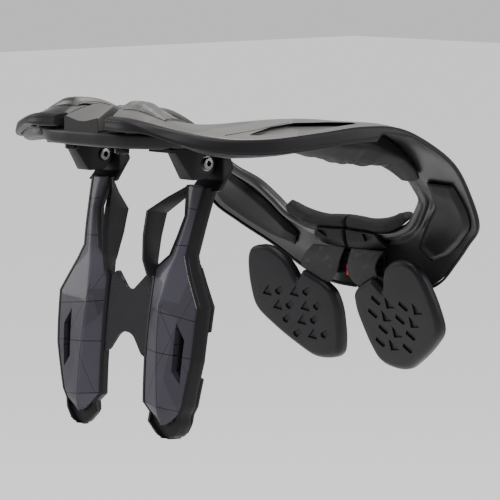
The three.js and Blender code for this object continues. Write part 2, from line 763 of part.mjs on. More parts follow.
function slotPrism() {
  const top = wingZ(0.535);
  const x = wingX(0.7);
  const half = slotWidth / 2;
  const corners = [
    [x - half * 0.6, top], [x + half, top - slotLength * 0.27], [x + half * 0.4, top - slotLength],
    [x - half, top - slotLength * 0.8],
  ];
  const flat = corners.map(([px, pz]) => new THREE.Vector2(px, pz));
  return layered(flat, [[0, -coverRidge - 6], [0, frameDepth]], wingPoint);
}

function wingCover() {
  const plate = alongWing(wingRows.map(([down]) => down), (down) => {
    const [, inner, outer, ridge, rise] = wingRow(down).map((v, i) => (i > 0 && i < 4 ? wingX(v) : v));
    const crest = -rise * coverRidge;
    return [
      [inner, coverThickness], [inner, 0.8], [inner + 1, 0], [ridge - 1.2, crest], [ridge + 1.2, crest],
      [outer - 1, 0], [outer, 0.8], [outer, coverThickness],
    ];
  });
  return cut(plate, slotPrism());
}

// depth of the frame's front edges at the inner and outer side of the wing
const frameBack = { inner: 4.5, outer: 11 };

function wingFrame() {
  const start = coverThickness + padGap;
  const stations = [...wingRows.slice(0, -1).map(([down]) => down), ...chinRows.map(([down]) => down)];
  const tray = alongWing(stations, (down) => {
    const chin = chinRows.find(([d]) => d === down);
    const [inner, outer] = (chin ? chin.slice(1) : wingRow(down).slice(1, 3)).map(wingX);
    const first = down === 1 ? frameBack.inner : start;
    return [
      [inner, first], [inner - innerFlare, frameBack.inner - 0.4],
      [inner - innerFlare, frameBack.inner + 0.4],
      [outer + outerFlare, frameBack.outer], [outer + outerFlare, frameDepth + 0.5], [outer + 1.2, first],
    ];
  });
  const coverRoom = alongWing(wingRows.map(([down]) => down), (down) => {
    const [, inner, outer] = wingRow(down).map(wingX);
    return [
      [inner - padGap, start], [inner - padGap, -branchRise], [outer + padGap, -branchRise],
      [outer + padGap, start],
    ];
  });
  return cut(join(tray, wingHub(), wingTongue(), branch()), slotPrism(), coverRoom);
}

// block in front of the bracket that carries the tongue
function wingHub() {
  const front = pivotY + 9;
  const middle = (bracketInnerX + bracketOuterX) / 2;
  const low = wingPoint(0, wingZ(0.02), coverThickness + 1.5);
  const lowFront = wingPoint(0, wingZ(0.02), frameBack.outer);
  const corners = [
    [front + 1.2, pivotZ + 5], [front + 9, pivotZ + 5], [front + 13, pivotZ - 4], [lowFront.y, wingZ(0.02)],
    [low.y, wingZ(0.02)], [front + 1.2, wingTop + 4],
  ];
  const flat = corners.map(([y, z]) => new THREE.Vector2(y, z));
  const layers = [
    [1.5, middle - 14], [0, middle - 12.5], [0, middle + 12.5], [1.5, middle + 14],
  ];
  return layered(flat, layers, (y, z, x) => new THREE.Vector3(x, y, z));
}

function wingTongue() {
  const middle = (bracketInnerX + bracketOuterX) / 2;
  const half = clevisWidth / 2;
  const eye = cylinderAlong('x', 7.5, middle - half, middle + half, [pivotY, pivotZ], 20);
  const bridge = box([middle - half, pivotY, pivotZ - 7], [middle + half, pivotY + 12, pivotZ + 3.5]);
  const hole = cylinderAlong('x', boltRadius + padGap, middle - 20, middle + 20, [pivotY, pivotZ]);
  return cut(join(eye, bridge), hole);
}

// slanting inner branch beside the window; it stands rearwards of the cover
function branch() {
  const rows = [
    // rear across, down, share of the branch's rise; front across, down, share of the frame's depth
    [0.5, 0, -0.2, 0.56, 0, 1], [0.36, 0.05, 0.4, 0.42, 0.06, 0.9], [0.25, 0.105, 1, 0.25, 0.11, 0.7],
    [0.245, 0.2, 0.8, 0.245, 0.21, 0.6], [0.24, 0.3, 0.25, 0.265, 0.31, 0.6],
    [0.26, 0.355, -0.2, 0.3, 0.355, 0.6],
  ];
  const half = branchThickness / 2;
  return loft(rows.map(([rearX, rearDown, rise, frontX, frontDown, depth]) => {
    const rear = wingPoint(wingX(rearX), wingZ(rearDown), -rise * branchRise);
    const front = wingPoint(wingX(frontX), wingZ(frontDown), depth * frameDepth);
    const corners = [[rear, -half], [rear, half], [front, half], [front, -half]];
    const points = corners.map(([p, side]) => new THREE.Vector3(p.x + side, p.y - side * 0.4, p.z));
    return { points, flat: [[-1, 0], [1, 0], [1, 5], [-1, 5]].map(([x, y]) => new THREE.Vector2(x, y)) };
  }));
}

// pad on the body side, with the recess in its outer edge
const wingPadRows = [
  // down, recess share, fullness
  [0.31, 0, 0.3], [0.335, 0, 0.6], [0.468, 0, 1], [0.56, 0, 1], [0.58, 1, 1], [0.74, 1, 1], [0.76, 0, 1],
  [0.866, 0, 1], [0.9, 0, 1], [0.95, 0, 0.6], [0.99, 0, 0.3],
];

function wingPad() {
  const edges = (down) => {
    const span = chinRows[chinRows.length - 1][0] - chinRows[0][0];
    const chin = straightRow(chinRows, (chinRows.length - 1) * (down - chinRows[0][0]) / span);
    return (down > chinRows[0][0] ? chin.slice(1) : wingRow(down).slice(1, 3)).map(wingX);
  };
  return alongWing(wingPadRows.map(([down]) => down), (down) => {
    const [, recess, full] = wingPadRows.find(([d]) => d === down);
    const [innerEdge, outerEdge] = edges(down);
    const inner = innerEdge + 0.5;
    const outer = outerEdge + outerFlare - 1 - recess * wingPadRecess;
    const slope = (frameBack.outer - frameBack.inner) / (outerEdge + outerFlare - innerEdge + innerFlare);
    const rear = (x) => frameBack.inner + wingPadGap + slope * (x - innerEdge + innerFlare);
    const thick = wingPadThickness * full;
    return [
      [inner, rear(inner)], [inner + 0.5, rear(inner) + 0.5 * thick],
      [inner + 4, rear(inner + 4) + 0.8 * thick],
      [outer - 3.5, rear(outer) + thick], [outer, rear(outer) + 0.5 * thick], [outer, rear(outer)],
    ];
  });
}

function wingWeb() {
  const rows = [
    // half width share, down share
    [1, 0.385], [0.75, 0.36], [0.14, 0.43], [-0.14, 0.43], [-0.75, 0.36], [-1, 0.385], [-1, 0.69],
    [-0.8, 0.68], [-0.3, 0.6], [0.3, 0.6], [0.8, 0.68], [1, 0.69],
  ];
  const inner = wingX(wingRow(0.6)[1]) - innerFlare - padGap;
  const outline = rows.map(([across, down]) => new THREE.Vector2(across * inner, wingZ(down)));
  return layered(outline, [[0, webDepth], [0, webDepth + webThickness]], wingPoint);
}

function wings() {
  addPair('wing_cover', wingCover(), 'panel');
  addPair('wing_frame', wingFrame(), 'rim');
  addPair('wing_pad', wingPad(), 'foam');
  addPiece('wing_web', wingWeb(), 'rubber');
}

ringHalf();
closure();
rearStructure();
wings();

export default brace;
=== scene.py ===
import json
import math

import bmesh
import bpy
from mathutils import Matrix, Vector


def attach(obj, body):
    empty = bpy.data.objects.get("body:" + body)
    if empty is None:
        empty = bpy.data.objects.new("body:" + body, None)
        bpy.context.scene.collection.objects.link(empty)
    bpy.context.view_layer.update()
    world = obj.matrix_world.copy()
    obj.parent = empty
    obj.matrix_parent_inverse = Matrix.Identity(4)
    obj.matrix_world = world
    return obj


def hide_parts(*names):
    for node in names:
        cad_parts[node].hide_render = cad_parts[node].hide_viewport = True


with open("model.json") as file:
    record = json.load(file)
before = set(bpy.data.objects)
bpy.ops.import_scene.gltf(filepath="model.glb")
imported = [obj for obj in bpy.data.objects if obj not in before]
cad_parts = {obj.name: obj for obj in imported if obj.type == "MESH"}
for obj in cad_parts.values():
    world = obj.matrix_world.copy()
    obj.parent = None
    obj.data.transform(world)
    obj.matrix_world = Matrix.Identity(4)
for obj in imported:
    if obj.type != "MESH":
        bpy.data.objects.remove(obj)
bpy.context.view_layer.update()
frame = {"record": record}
bodies = frame["record"]["behaviour"]["bodies"]
bodyOf = {node: body for body, nodes in bodies.items() for node in nodes}
mm = 0.001

# camera at the photograph's angle
photoView = {
    "azimuth": 47, "elevation": 6.4, "distance": 2.6, "target": Vector((0, 0, -0.106)),
    "lens": 243.4, "sensor": 36,
}


def makeCamera(view):
    turn, rise = math.radians(view["azimuth"]), math.radians(view["elevation"])
    back = Vector((math.sin(turn) * math.cos(rise), -math.cos(turn) * math.cos(rise), math.sin(rise)))
    data = bpy.data.cameras.new("camera")
    data.lens = view["lens"]
    data.sensor_width = view["sensor"]
    camera = bpy.data.objects.new("camera", data)
    camera.location = view["target"] + back * view["distance"]
    camera.rotation_euler = (-back).to_track_quat("-Z", "Y").to_euler()
    bpy.context.collection.objects.link(camera)
    bpy.context.scene.camera = camera


makeCamera(photoView)
print("camera ready")


# materials: a wire is a socket that can be used in sums
class Wire:
    def __init__(self, shader, socket):
        self.shader = shader
        self.socket = socket

    def __add__(self, other):
        return self.shader.sum("ADD", self, other)

    def __radd__(self, other):
        return self.shader.sum("ADD", other, self)

    def __sub__(self, other):
        return self.shader.sum("SUBTRACT", self, other)

    def __rsub__(self, other):
        return self.shader.sum("SUBTRACT", other, self)

    def __mul__(self, other):
        return self.shader.sum("MULTIPLY", self, other)

    def __rmul__(self, other):
        return self.shader.sum("MULTIPLY", other, self)

    def __gt__(self, other):
        return self.shader.sum("GREATER_THAN", self, other)

    def __lt__(self, other):
        return self.shader.sum("LESS_THAN", self, other)

    def __abs__(self):
        return self.shader.sum("ABSOLUTE", self, 0)


class Shader:
    def __init__(self, name, roughness, metallic=0.0, coat=0.0, shine=0.12):
        self.material = bpy.data.materials.new(name)
        self.material.use_nodes = True
        self.tree = self.material.node_tree
        self.surface = self.tree.nodes["Principled BSDF"]
        self.surface.inputs["Roughness"].default_value = roughness
        self.surface.inputs["Metallic"].default_value = metallic
        self.surface.inputs["Coat Weight"].default_value = coat
        self.surface.inputs["Specular IOR Level"].default_value = 0.5 if metallic else shine
        self.place = self.wire("ShaderNodeTexCoord", output="Object")
        axes = self.node("ShaderNodeSeparateXYZ", {}, {"Vector": self.place})
        self.x, self.y, self.z = (Wire(self, axes.outputs[axis]) for axis in "XYZ")

    def node(self, kind, settings=None, inputs=None):
        made = self.tree.nodes.new(kind)
        for key, value in (settings or {}).items():
            setattr(made, key, value)
        for key, value in (inputs or {}).items():
            if isinstance(value, Wire):
                self.tree.links.new(value.socket, made.inputs[key])
            else:
                made.inputs[key].default_value = value
        return made

    def wire(self, kind, settings=None, inputs=None, output=0):
        return Wire(self, self.node(kind, settings, inputs).outputs[output])

    def sum(self, operation, a, b):
        return self.wire("ShaderNodeMath", {"operation": operation}, {0: a, 1: b})

    def speckle(self, scale, detail=3.0, stretch=(1, 1, 1)):
        spot = self.wire("ShaderNodeMapping", {}, {"Vector": self.place, "Scale": stretch})
        return self.wire("ShaderNodeTexNoise", {}, {"Vector": spot, "Scale": scale, "Detail": detail}, "Fac")

    def blend(self, factor, a, b):
        made = self.node("ShaderNodeMix", {"data_type": "RGBA"}, {0: factor, 6: a, 7: b})
        return Wire(self, made.outputs[2])

    def put(self, name, wire):
        self.tree.links.new(wire.socket, self.surface.inputs[name])

    def dress(self, colour, roughness, height, depth):  # colour, roughness and bump that vary over a surface
        self.put("Base Color", colour)
        self.put("Roughness", roughness)
        bump = {"Height": height, "Distance": depth, "Strength": 1.0}
        self.put("Normal", self.wire("ShaderNodeBump", {}, bump, "Normal"))
        return self.material


def shade(colour, factor):
    return tuple(channel * factor for channel in colour) + (1,)


def satinPlastic(name, colour, roughness, grain=0.00006, coat=0.0):
    made = Shader(name, roughness, coat=coat)
    broad = made.speckle(14, 2)
    fine = made.speckle(1400, 2)
    scuffs = made.speckle(90, 4, (1, 1, 3))
    tone = made.blend(broad, shade(colour, 0.82), shade(colour, 1.2))
    rough = roughness - 0.05 + broad * 0.08 + (scuffs > 0.66) * 0.08
    return made.dress(tone, rough, fine * 0.7 + scuffs * 0.3, grain)


deckFinish = {
    "facetScale": 16,
    "sheenHeights": (-0.018, -0.006),  # painted reflection: the deck's top is painted light above these heights for its bright grazing reflection; below them the front plate is dark
    "shadedWedge": ((0.677, 0.0564), (0.129, 0.05)),  # painted shade: dark patch on the left hump, where it reflects less light; slope and offset of its edges
}


def deckPlastic(name, colour, roughness):
    made = Shader(name, roughness, shine=0.38)
    broad = made.speckle(9, 2)
    fine = made.speckle(1500, 2)
    spot = {"Vector": made.place, "Scale": deckFinish["facetScale"]}
    facets = made.wire("ShaderNodeTexVoronoi", {"distance": "MANHATTAN"}, spot, "Color")
    facet = made.wire("ShaderNodeSeparateColor", {}, {"Color": facets}, "Red")
    # painted reflection: the deck's top is painted in this light tone, with random facet patches, for its
    # bright grazing reflection
    reflectedTone = made.blend(facet * 0.6 + broad * 0.4, shade(colour, 0.6), shade(colour, 1.45))
    low, high = deckFinish["sheenHeights"]
    height = made.wire("ShaderNodeMapRange", {}, {"Value": made.z, "From Min": low, "From Max": high})
    (rearSlope, rearEdge), (sideSlope, sideEdge) = deckFinish["shadedWedge"]
    # painted shade: the left hump is painted dark inside this wedge
    shadedWedge = (made.x - made.y * rearSlope > rearEdge) * ((made.x + made.y * sideSlope) * -1 > sideEdge)
    reflectedTone = made.blend(shadedWedge, reflectedTone, shade(colour, 0.16))
    # painted reflection: blends from the dark front plate below the sheen heights to the painted light top
    # above
    tone = made.blend(height, shade(colour, 0.14), reflectedTone)
    return made.dress(tone, roughness - 0.04 + broad * 0.08, fine, 0.00004)


saddleSheen = {  # painted reflection: the saddle's top is painted lighter than the table, above a height and ahead of the rear edge, for the bright reflection on it
    "saddleAbove": -0.0046, "saddleAhead": -0.1686,
    "dark": (0.055, 0.053, 0.051), "light": (0.1, 0.097, 0.093),
}


def tablePlastic(name, colour, roughness):
    made = Shader(name, roughness, shine=0.16)
    # painted reflection: mask of the saddle's raised top, which takes the light tone
    raised = (made.z > saddleSheen["saddleAbove"]) * (made.y > saddleSheen["saddleAhead"])
    fine = made.speckle(1400, 2)
    broad = made.speckle(14, 2)
    # painted reflection: the light tone of the saddle's top
    reflectedTone = made.blend(broad, shade(saddleSheen["dark"], 1), shade(saddleSheen["light"], 1))
    return made.dress(made.blend(raised, shade(colour, 1), reflectedTone), roughness + broad * 0.08, fine, 0.00006)


def mouldedFoam(name, colour, roughness, pores=900, depth=0.00012):
    made = Shader(name, roughness, shine=0.12)
    grain = made.speckle(pores, 4)
    broad = made.speckle(22, 3)
    tone = made.blend(broad * 0.7 + grain * 0.3, shade(colour, 0.7), shade(colour, 1.35))
    return made.dress(tone, roughness - 0.08 + broad * 0.14, grain * 0.6 + broad * 0.4, depth)


def coatedSkin(name, colour, relief=0.0006):
    made = Shader(name, 0.42, shine=0.25)
    creases = made.speckle(75, 6, (1, 1, 2.5))
    grain = made.speckle(700, 3)
    streaks = made.speckle(120, 4, (0.35, 1, 1))
    # the tone is lighter along creases and streaks
    creaseStreakTone = (creases > 0.56) * 0.35 + streaks * 0.65
    tone = made.blend(creaseStreakTone, shade(colour, 0.45), shade(colour, 1.5))
    return made.dress(tone, 0.34 + grain * 0.2, creases * 0.75 + grain * 0.25, relief)


def ribbedRubber(name, colour):
    made = Shader(name, 0.62, shine=0.1)
    slope, pitch = 0.8, 4200
    ribs = made.sum("SINE", (made.x + made.z * slope) * pitch, 0)
    grain = made.speckle(800, 3)
    # painted light and shade: rib crests are painted light and troughs dark, for the light on the rib faces
    tone = made.blend(ribs * 0.5 + 0.5, shade(colour, 0.35), shade(colour, 1.9))
    return made.dress(tone, 0.55 + grain * 0.15, ribs * 0.8 + grain * 0.2, 0.00025)


def strapRubber(name, colour):
    made = Shader(name, 0.7, shine=0.1)
    grain = made.speckle(1100, 4)
    dust = made.speckle(160, 5)
    tone = made.blend((dust > 0.62) * 0.5 + grain * 0.4, shade(colour, 0.8), shade(colour, 1.7))
    return made.dress(tone, 0.6 + grain * 0.18, grain, 0.0002)


def turnedSteel(name, colour):
    made = Shader(name, 0.3, metallic=1.0)
    rings = made.speckle(900, 3, (1, 6, 6))
    tone = made.blend(rings, shade(colour, 0.75), shade(colour, 1.2))
    return made.dress(tone, 0.22 + rings * 0.2, rings, 0.00003)


# wing cover finish: facets painted lighter and darker for the light falling on them, and fine scored lines
# painted dark as shade
wingFinish = {
    "colour": (0.024, 0.0225, 0.03),
    "facets": [  # edges of a three sided patch as x, z and offset, then its tone: painted light where above 0 and painted shade where below
        ((1, 0.5, 0.045), (-1, 0.35, 0.105), (0.1, 1, 0.125), 0.5),
        ((-0.6, 1, 0.115), (1, 0.3, -0.004), (-0.25, -1, -0.085), -0.4),
        ((1, -0.42, -0.092), (-0.4, -1, -0.118), (-1, 0.2, 0.088), 0.45),
        ((0.9, 1, 0.122), (-1, 0.1, 0.058), (0.35, -1, -0.148), -0.35),
        ((-1, -0.55, -0.052), (0.5, 1, 0.182), (1, 0, -0.02), 0.4),
    ],
    "lines": [  # height at the middle plane and slope of each scored line
        (-0.057, 0.1), (-0.0905, -0.02), (-0.1335, 0.12), (-0.1655, 0.06), (-0.2035, 0.1), (-0.073, 1.5),
        (-0.262, -1.9),
    ],
    "lineHalf": 0.00032,
    "ridge": (0.0675, 0.0315, 0.0003, -0.125),  # slope, offset, half width and top of the line on the ridge
}


def wingPlastic(name):
    made = Shader(name, 0.42, coat=0.1)
    colour = wingFinish["colour"]
    across = abs(made.x)
    tone = made.speckle(16, 2) * 0.25
    # painted light and shade: each facet patch is made lighter or darker as light would fall on it
    for first, second, third, facetShade in wingFinish["facets"]:
        inside = 1.0
        for slopeX, slopeZ, offset in (first, second, third):
            inside = ((across * slopeX + made.z * slopeZ + offset) > 0) * inside
        tone = tone + inside * facetShade
    scored = 0.0
    for height, slope in wingFinish["lines"]:
        scored = (abs(made.z - height + across * slope) < wingFinish["lineHalf"]) + scored
    slope, offset, half, top = wingFinish["ridge"]
    ridge = abs(across + made.z * slope - offset) < half
    scored = (made.z < top) * ridge + scored
    fine = made.speckle(1500, 2)
    plain = made.blend(tone + 0.4, shade(colour, 0.7), shade(colour, 1.3))
    # painted shade: the scored grooves and the ridge line are painted near black
    shadedLines = made.blend(scored, plain, shade(colour, 0.15))
    return made.dress(shadedLines, 0.4 + tone * 0.1, fine * 0.1 - scored, 0.0002)


finishes = {
    # painted reflection: this light grey stands for the bright reflection on the deck's grazing top; the
    # front plate is drawn at 0.14 of it
    "deck": deckPlastic("deckSatin", (0.075, 0.072, 0.069), 0.34),
    "rim": satinPlastic("rimSatin", (0.006, 0.0057, 0.0067), 0.46),
    "shell": satinPlastic("shellSatin", (0.006, 0.0057, 0.0069), 0.42),
    "table": tablePlastic("tableSatin", (0.0065, 0.0062, 0.0065), 0.4),
    "foam": mouldedFoam("foamGrain", (0.005, 0.0048, 0.006), 0.46),
    "collar": mouldedFoam("collarGrain", (0.006, 0.0058, 0.0065), 0.6, pores=520, depth=0.0004),
    "leather": coatedSkin("coatedSkin", (0.085, 0.084, 0.082)),
    "crumpled": coatedSkin("crumpledSkin", (0.0075, 0.0068, 0.0085), 0.0022),
    "rubber": ribbedRubber("ribbedRubber", (0.014, 0.0135, 0.016)),
    "strap": strapRubber("strapRubber", (0.021, 0.0205, 0.0215)),
    "panel": wingPlastic("wingSatin"),
    "red": satinPlastic("redSatin", (0.5, 0.02, 0.03), 0.35),
    "darkSteel": turnedSteel("darkSteel", (0.02, 0.02, 0.022)),
    "steel": turnedSteel("turnedSteel", (0.13, 0.128, 0.126)),
}
print("materials ready")


# mesh helpers, in millimetres until a piece is finished
def linkMesh(bm, name):
    mesh = bpy.data.meshes.new(name)
    bm.to_mesh(mesh)
    bm.free()
    made = bpy.data.objects.new(name, mesh)
    bpy.context.collection.objects.link(made)
    return made


def bake(obj):
    depsgraph = bpy.context.evaluated_depsgraph_get()
    mesh = bpy.data.meshes.new_from_object(obj.evaluated_get(depsgraph))
    obj.modifiers.clear()
    obj.data = mesh


def subtract(bm, *cutters):
    obj = linkMesh(bm, "blank")
    tools = [linkMesh(cutter, "cutter") for cutter in cutters]
    for tool in tools:
        modifier = obj.modifiers.new("cut", "BOOLEAN")
        modifier.operation = "DIFFERENCE"
        modifier.solver = "EXACT"
        modifier.object = tool
    bake(obj)
    cut = bmesh.new()
    cut.from_mesh(obj.data)
    for spare in (obj, *tools):
        bpy.data.objects.remove(spare)
    return cut


def joinMeshes(first, *others):
    for other in others:
        mesh = bpy.data.meshes.new("joined")
        other.to_mesh(mesh)
        other.free()
        first.from_mesh(mesh)
    return first


edgeBevel = {"segments": 3, "angle": 28}


def finishPiece(bm, name, material, sharp=32, mirror=False, bevel=0):
    side = -1 if mirror else 1
    bmesh.ops.scale(bm, vec=(side * mm, mm, mm), verts=bm.verts)
    bmesh.ops.recalc_face_normals(bm, faces=bm.faces)
    obj = linkMesh(bm, f"{name}_look")
    obj.data.materials.append(finishes[material])
    if bevel:
        modifier = obj.modifiers.new("edges", "BEVEL")
        modifier.width = bevel * mm
        modifier.segments = edgeBevel["segments"]
        modifier.limit_method = "ANGLE"
        modifier.angle_limit = math.radians(edgeBevel["angle"])
        bake(obj)
    obj.data.shade_smooth()
    obj.data.set_sharp_from_angle(angle=math.radians(sharp))
    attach(obj, bodyOf[name])
    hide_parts(name)
    return obj


def makePair(build, name, material, sharp=32, bevel=0):
    for side, mirror in (("right", False), ("left", True)):
        obj = finishPiece(build(), f"{name}_{side}", material, sharp, mirror, bevel)
    print(name, "ready")


def ringEdges(verts, edge):  # edge is bm.edges.new or bm.edges.get
    return [edge(pair) for pair in zip(verts, verts[1:] + verts[:1])]


def extrudeRing(bm, verts, places):
    made = set(bmesh.ops.extrude_edge_only(bm, edges=ringEdges(verts, bm.edges.get))["geom"])
    following = []
    for vert in verts:
        ends = [edge.other_vert(vert) for edge in vert.link_edges]
        following.append(next(end for end in ends if end in made))
    for vert, place in zip(following, places):
        vert.co = place
    return following


def sweepRings(rings):
    bm = bmesh.new()
    verts = [bm.verts.new(place) for place in rings[0]]
    start = ringEdges(verts, bm.edges.new)
    for places in rings[1:]:
        verts = extrudeRing(bm, verts, places)
    for loop in (start, ringEdges(verts, bm.edges.get)):
        bmesh.ops.edgeloop_fill(bm, edges=loop)
    return bm


def roundCorners(corners, steps=3):  # corners are x, y and radius
    points = []
    count = len(corners)
    most = 0.45  # of a side's length goes to one arc
    for i, (x, y, radius) in enumerate(corners):
        here = Vector((x, y))
        if radius <= 0:
            points.append(here)
            continue
        before = Vector(corners[i - 1][:2]) - here
        after = Vector(corners[(i + 1) % count][:2]) - here
        start = here + before.normalized() * min(radius, before.length * most)
        end = here + after.normalized() * min(radius, after.length * most)
        for k in range(steps + 1):
            share = k / steps
            points.append(start * (1 - share) ** 2 + here * (2 * share * (1 - share)) + end * share ** 2)
    return points


def loopSide(points):  # 1 for a loop that runs anticlockwise, or else -1
    area = sum(points[i - 1].x * points[i].y - points[i].x * points[i - 1].y for i in range(len(points)))
    return 1 if area > 0 else -1


def shrinkLoop(points, distance):
    side = loopSide(points)
    moved = []
    for i, here in enumerate(points):
        before = here - points[i - 1]
        after = points[(i + 1) % len(points)] - here
        normal = Vector((-before.y - after.y, before.x + after.x))
        moved.append(here + normal.normalized() * distance * side if normal.length > 1e-9 else here)
    return moved


def endLoops(loop, distance, first):  # loops of a rounded end, each with its step along the sweep
    small, middle = shrinkLoop(loop, distance), shrinkLoop(loop, distance * 0.35)
    made = [(small, 0), (middle, distance * 0.2), (loop, distance)]
    return made if first else [(points, -step) for points, step in reversed(made)]


def pushFaces(bm, step):  # gives a flat face a thickness and returns the far corners
    made = bmesh.ops.extrude_face_region(bm, geom=bm.faces[:])["geom"]
    far = [item for item in made if isinstance(item, bmesh.types.BMVert)]
    bmesh.ops.translate(bm, vec=step, verts=far)
    return far


def bendRows(bm, axis, places):  # cuts rows of edges across a plate, so that it can bend there
    for place in places:
        everything = bm.verts[:] + bm.edges[:] + bm.faces[:]
        bmesh.ops.bisect_plane(bm, geom=everything, plane_co=axis * place, plane_no=axis)


def bevelWhere(bm, test, offset, segments):
    edges = [edge for edge in bm.edges if test(edge)]
    shape = {"offset": offset, "segments": segments, "profile": 0.5, "affect": "EDGES", "material": -1}
    bmesh.ops.bevel(bm, geom=edges, **shape)


# ring arm: stations from its rear end to the front closure
ring = {
    "halfWidth": 152, "rearReach": 162, "frontReach": 136, "frontDrop": 142,
    "neckHalfWidth": 100, "neckRearReach": 114, "neckFrontReach": 113, "halfGap": 0.4,
    "deckWall": 3.2, "humpHeight": 7, "lipHeight": 9, "rimWidth": 11, "rimHeight": 18, "gap": 0.3,
}
armStations = [
    # inX, inY, inZ, outX, outY, outZ, hump, lip, rimOut, rimDrop, rimTall
    [0.08, -1, 0.02, 0.16, -0.99, 0.042, 0.9, 0.45, 0.95, 0.1, 0.55],
    [0.24, -1, 0.018, 0.3, -1, 0.04, 1, 0.45, 0.95, 0.12, 0.55],
    [0.45, -0.985, 0.002, 0.43, -0.98, 0.02, 0.68, 0.45, 0.8, 0.22, 0.42],
    [0.61, -0.93, -0.002, 0.585, -0.925, -0.014, 0.24, 0.45, 0.55, 0.4, 0.5],
    [0.73, -0.85, 0.004, 0.705, -0.855, -0.038, 0.24, 0.45, 0.4, 0.5, 0.56],
    [0.8, -0.745, 0.012, 0.79, -0.765, -0.052, 0.22, 0.45, 0.34, 0.5, 0.6],
    [0.85, -0.52, 0.018, 0.865, -0.6, -0.052, 0.22, 0.45, 0.3, 0.5, 0.64],
    [0.9, -0.29, 0.014, 0.905, -0.36, -0.034, 0.24, 0.45, 0.24, 0.5, 0.68],
    [0.93, -0.1, -0.002, 0.93, -0.12, -0.016, 0.26, 0.5, 0.24, 0.5, 0.6],
    [0.955, 0.09, -0.035, 0.945, 0.12, -0.036, 0.26, 0.55, 0.22, 0.22, 0.26],
    [0.98, 0.35, -0.14, 0.96, 0.33, -0.12, 0.26, 0.65, 0.22, 0.2, 0.24],
    [1, 0.55, -0.268, 0.965, 0.53, -0.245, 0.26, 0.75, 0.22, 0.2, 0.24],
    [0.985, 0.69, -0.355, 0.972, 0.65, -0.41, 0.26, 0.85, 0.22, 0.2, 0.24],
    [0.9, 0.86, -0.435, 0.965, 0.735, -0.585, 0.26, 1, 0.2, 0.2, 0.24],
    [0.78, 0.93, -0.52, 0.83, 0.815, -0.7, 0.26, 1, 0.2, 0.2, 0.24],
    [0.65, 0.965, -0.6, 0.665, 0.91, -0.815, 0.26, 1, 0.2, 0.2, 0.24],
    [0.48, 0.99, -0.645, 0.5, 0.98, -0.935, 0.26, 1, 0.2, 0.2, 0.24],
    [0.3, 1, -0.665, 0.36, 0.985, -0.99, 0.26, 1, 0.2, 0.2, 0.24],
    [0.15, 1, -0.67, 0.17, 0.92, -1, 0.22, 1, 0.2, 0.2, 0.24],
    [0, 1, -0.67, 0, 0.88, -1, 0.22, 1, 0.2, 0.2, 0.24],
]
armEnd = len(armStations) - 1
humpShape = [(0, 0), (0.15, 0.35), (0.45, 0.8), (0.74, 1), (0.88, 0.6), (1, 0)]


def smoothRow(rows, t):
    i = min(int(t), len(rows) - 2)
    f = t - i
    mixed = []
    for c, value in enumerate(rows[i]):
        following = rows[i + 1][c]
        before = rows[i - 1][c] if i > 0 else 2 * value - following
        after = rows[i + 2][c] if i + 2 < len(rows) else 2 * following - value
        mixed.append(value + 0.5 * f * (following - before + f * (
            2 * before - 5 * value + 4 * following - after + f * (3 * (value - following) + after - before))))
    return mixed


def between(rows, t):  # rows are (place, value, ...), read at a place between them
    for low, high in zip(rows, rows[1:]):
        if t <= high[0] or high is rows[-1]:
            share = min(1, max(0, (t - low[0]) / (high[0] - low[0])))
            return [a + (b - a) * share for a, b in zip(low[1:], high[1:])]


def armEdges(t):
    row = smoothRow(armStations, t)
    inner = Vector((
        ring["halfGap"] + row[0] * ring["neckHalfWidth"],
        row[1] * ring["neckRearReach" if row[1] < 0 else "neckFrontReach"],
        row[2] * ring["frontDrop"]))
    outer = Vector((
        ring["halfGap"] + row[3] * ring["halfWidth"],
        row[4] * ring["rearReach" if row[4] < 0 else "frontReach"],
        row[5] * ring["frontDrop"]))
    return inner, outer, row[6:]


class Station:
    def __init__(self, t, share=0.0):  # share is how far along its piece the station is
        self.t = t
        self.share = share
        self.inner, self.outer, heights = armEdges(t)
        self.hump, self.lip, self.rimOut, self.rimDrop, self.rimTall = heights
        near = 0.02
        ahead, behind = armEdges(min(t + near, armEnd)), armEdges(max(t - near, 0))
        along = (ahead[0] + ahead[1] - behind[0] - behind[1]).normalized()
        self.width = (self.outer - self.inner).length
        self.across = (self.outer - self.inner).normalized()
        self.up = self.across.cross(along).normalized()
        self.along = along

    def lift(self, u):  # height of the deck over the line between its edges
        window = (-0.05, -0.02, 0.02, 0.05)
        shares = [between(humpShape, min(1, max(0, u + step)))[0] for step in window]
        return sum(shares) / len(shares) * self.hump * ring["humpHeight"] * (1 if 0 < u < 1 else 0)

    def point(self, a, lift, forward=0):
        return self.inner + self.across * a + self.up * lift + self.along * forward


def alongArm(start, end, section, steps, endRound=0.8):
    rings = []
    for k in range(steps + 1):
        share = k / steps
        station = Station(start + (end - start) * share, share)
        loop = section(station)
        loops = endLoops(loop, endRound, k == 0) if endRound and k in (0, steps) else [(loop, 0)]
        for points, forward in loops:
            rings.append([station.point(p.x, p.y, forward) for p in points])
    return sweepRings(rings)


# deck: a lip round the neck, a curved shell and a square outer edge
deckSteps = [0.1 + 0.86 * k / 22 for k in range(23)]


def deckSection(station):  # the lip's corners are shares of its height
    lip = station.lip * ring["lipHeight"]
    wall = ring["deckWall"]
    width = station.width
    top = [(u * width, station.lift(u), 0) for u in deckSteps]
    under = [(u * width, station.lift(u) - wall, 0) for u in deckSteps if u * width > 1.4 * lip]
    under += [(under[0][0] * 0.5 + 0.6 * lip, -wall, 0)] * (len(deckSteps) - len(under))
    corners = [
        (0.32 * lip, -lip, 0.3 * lip), (0, -0.5 * lip, 0.35 * lip), (0.1 * lip, 0, 0.4 * lip), *top,
        (width, 0, 1), (width, -wall, 1), *sorted(under, reverse=True),
        (1.15 * lip, -wall, 0.3), (0.9 * lip, -0.85 * lip, 0.3 * lip),
    ]
    return roundCorners(corners)


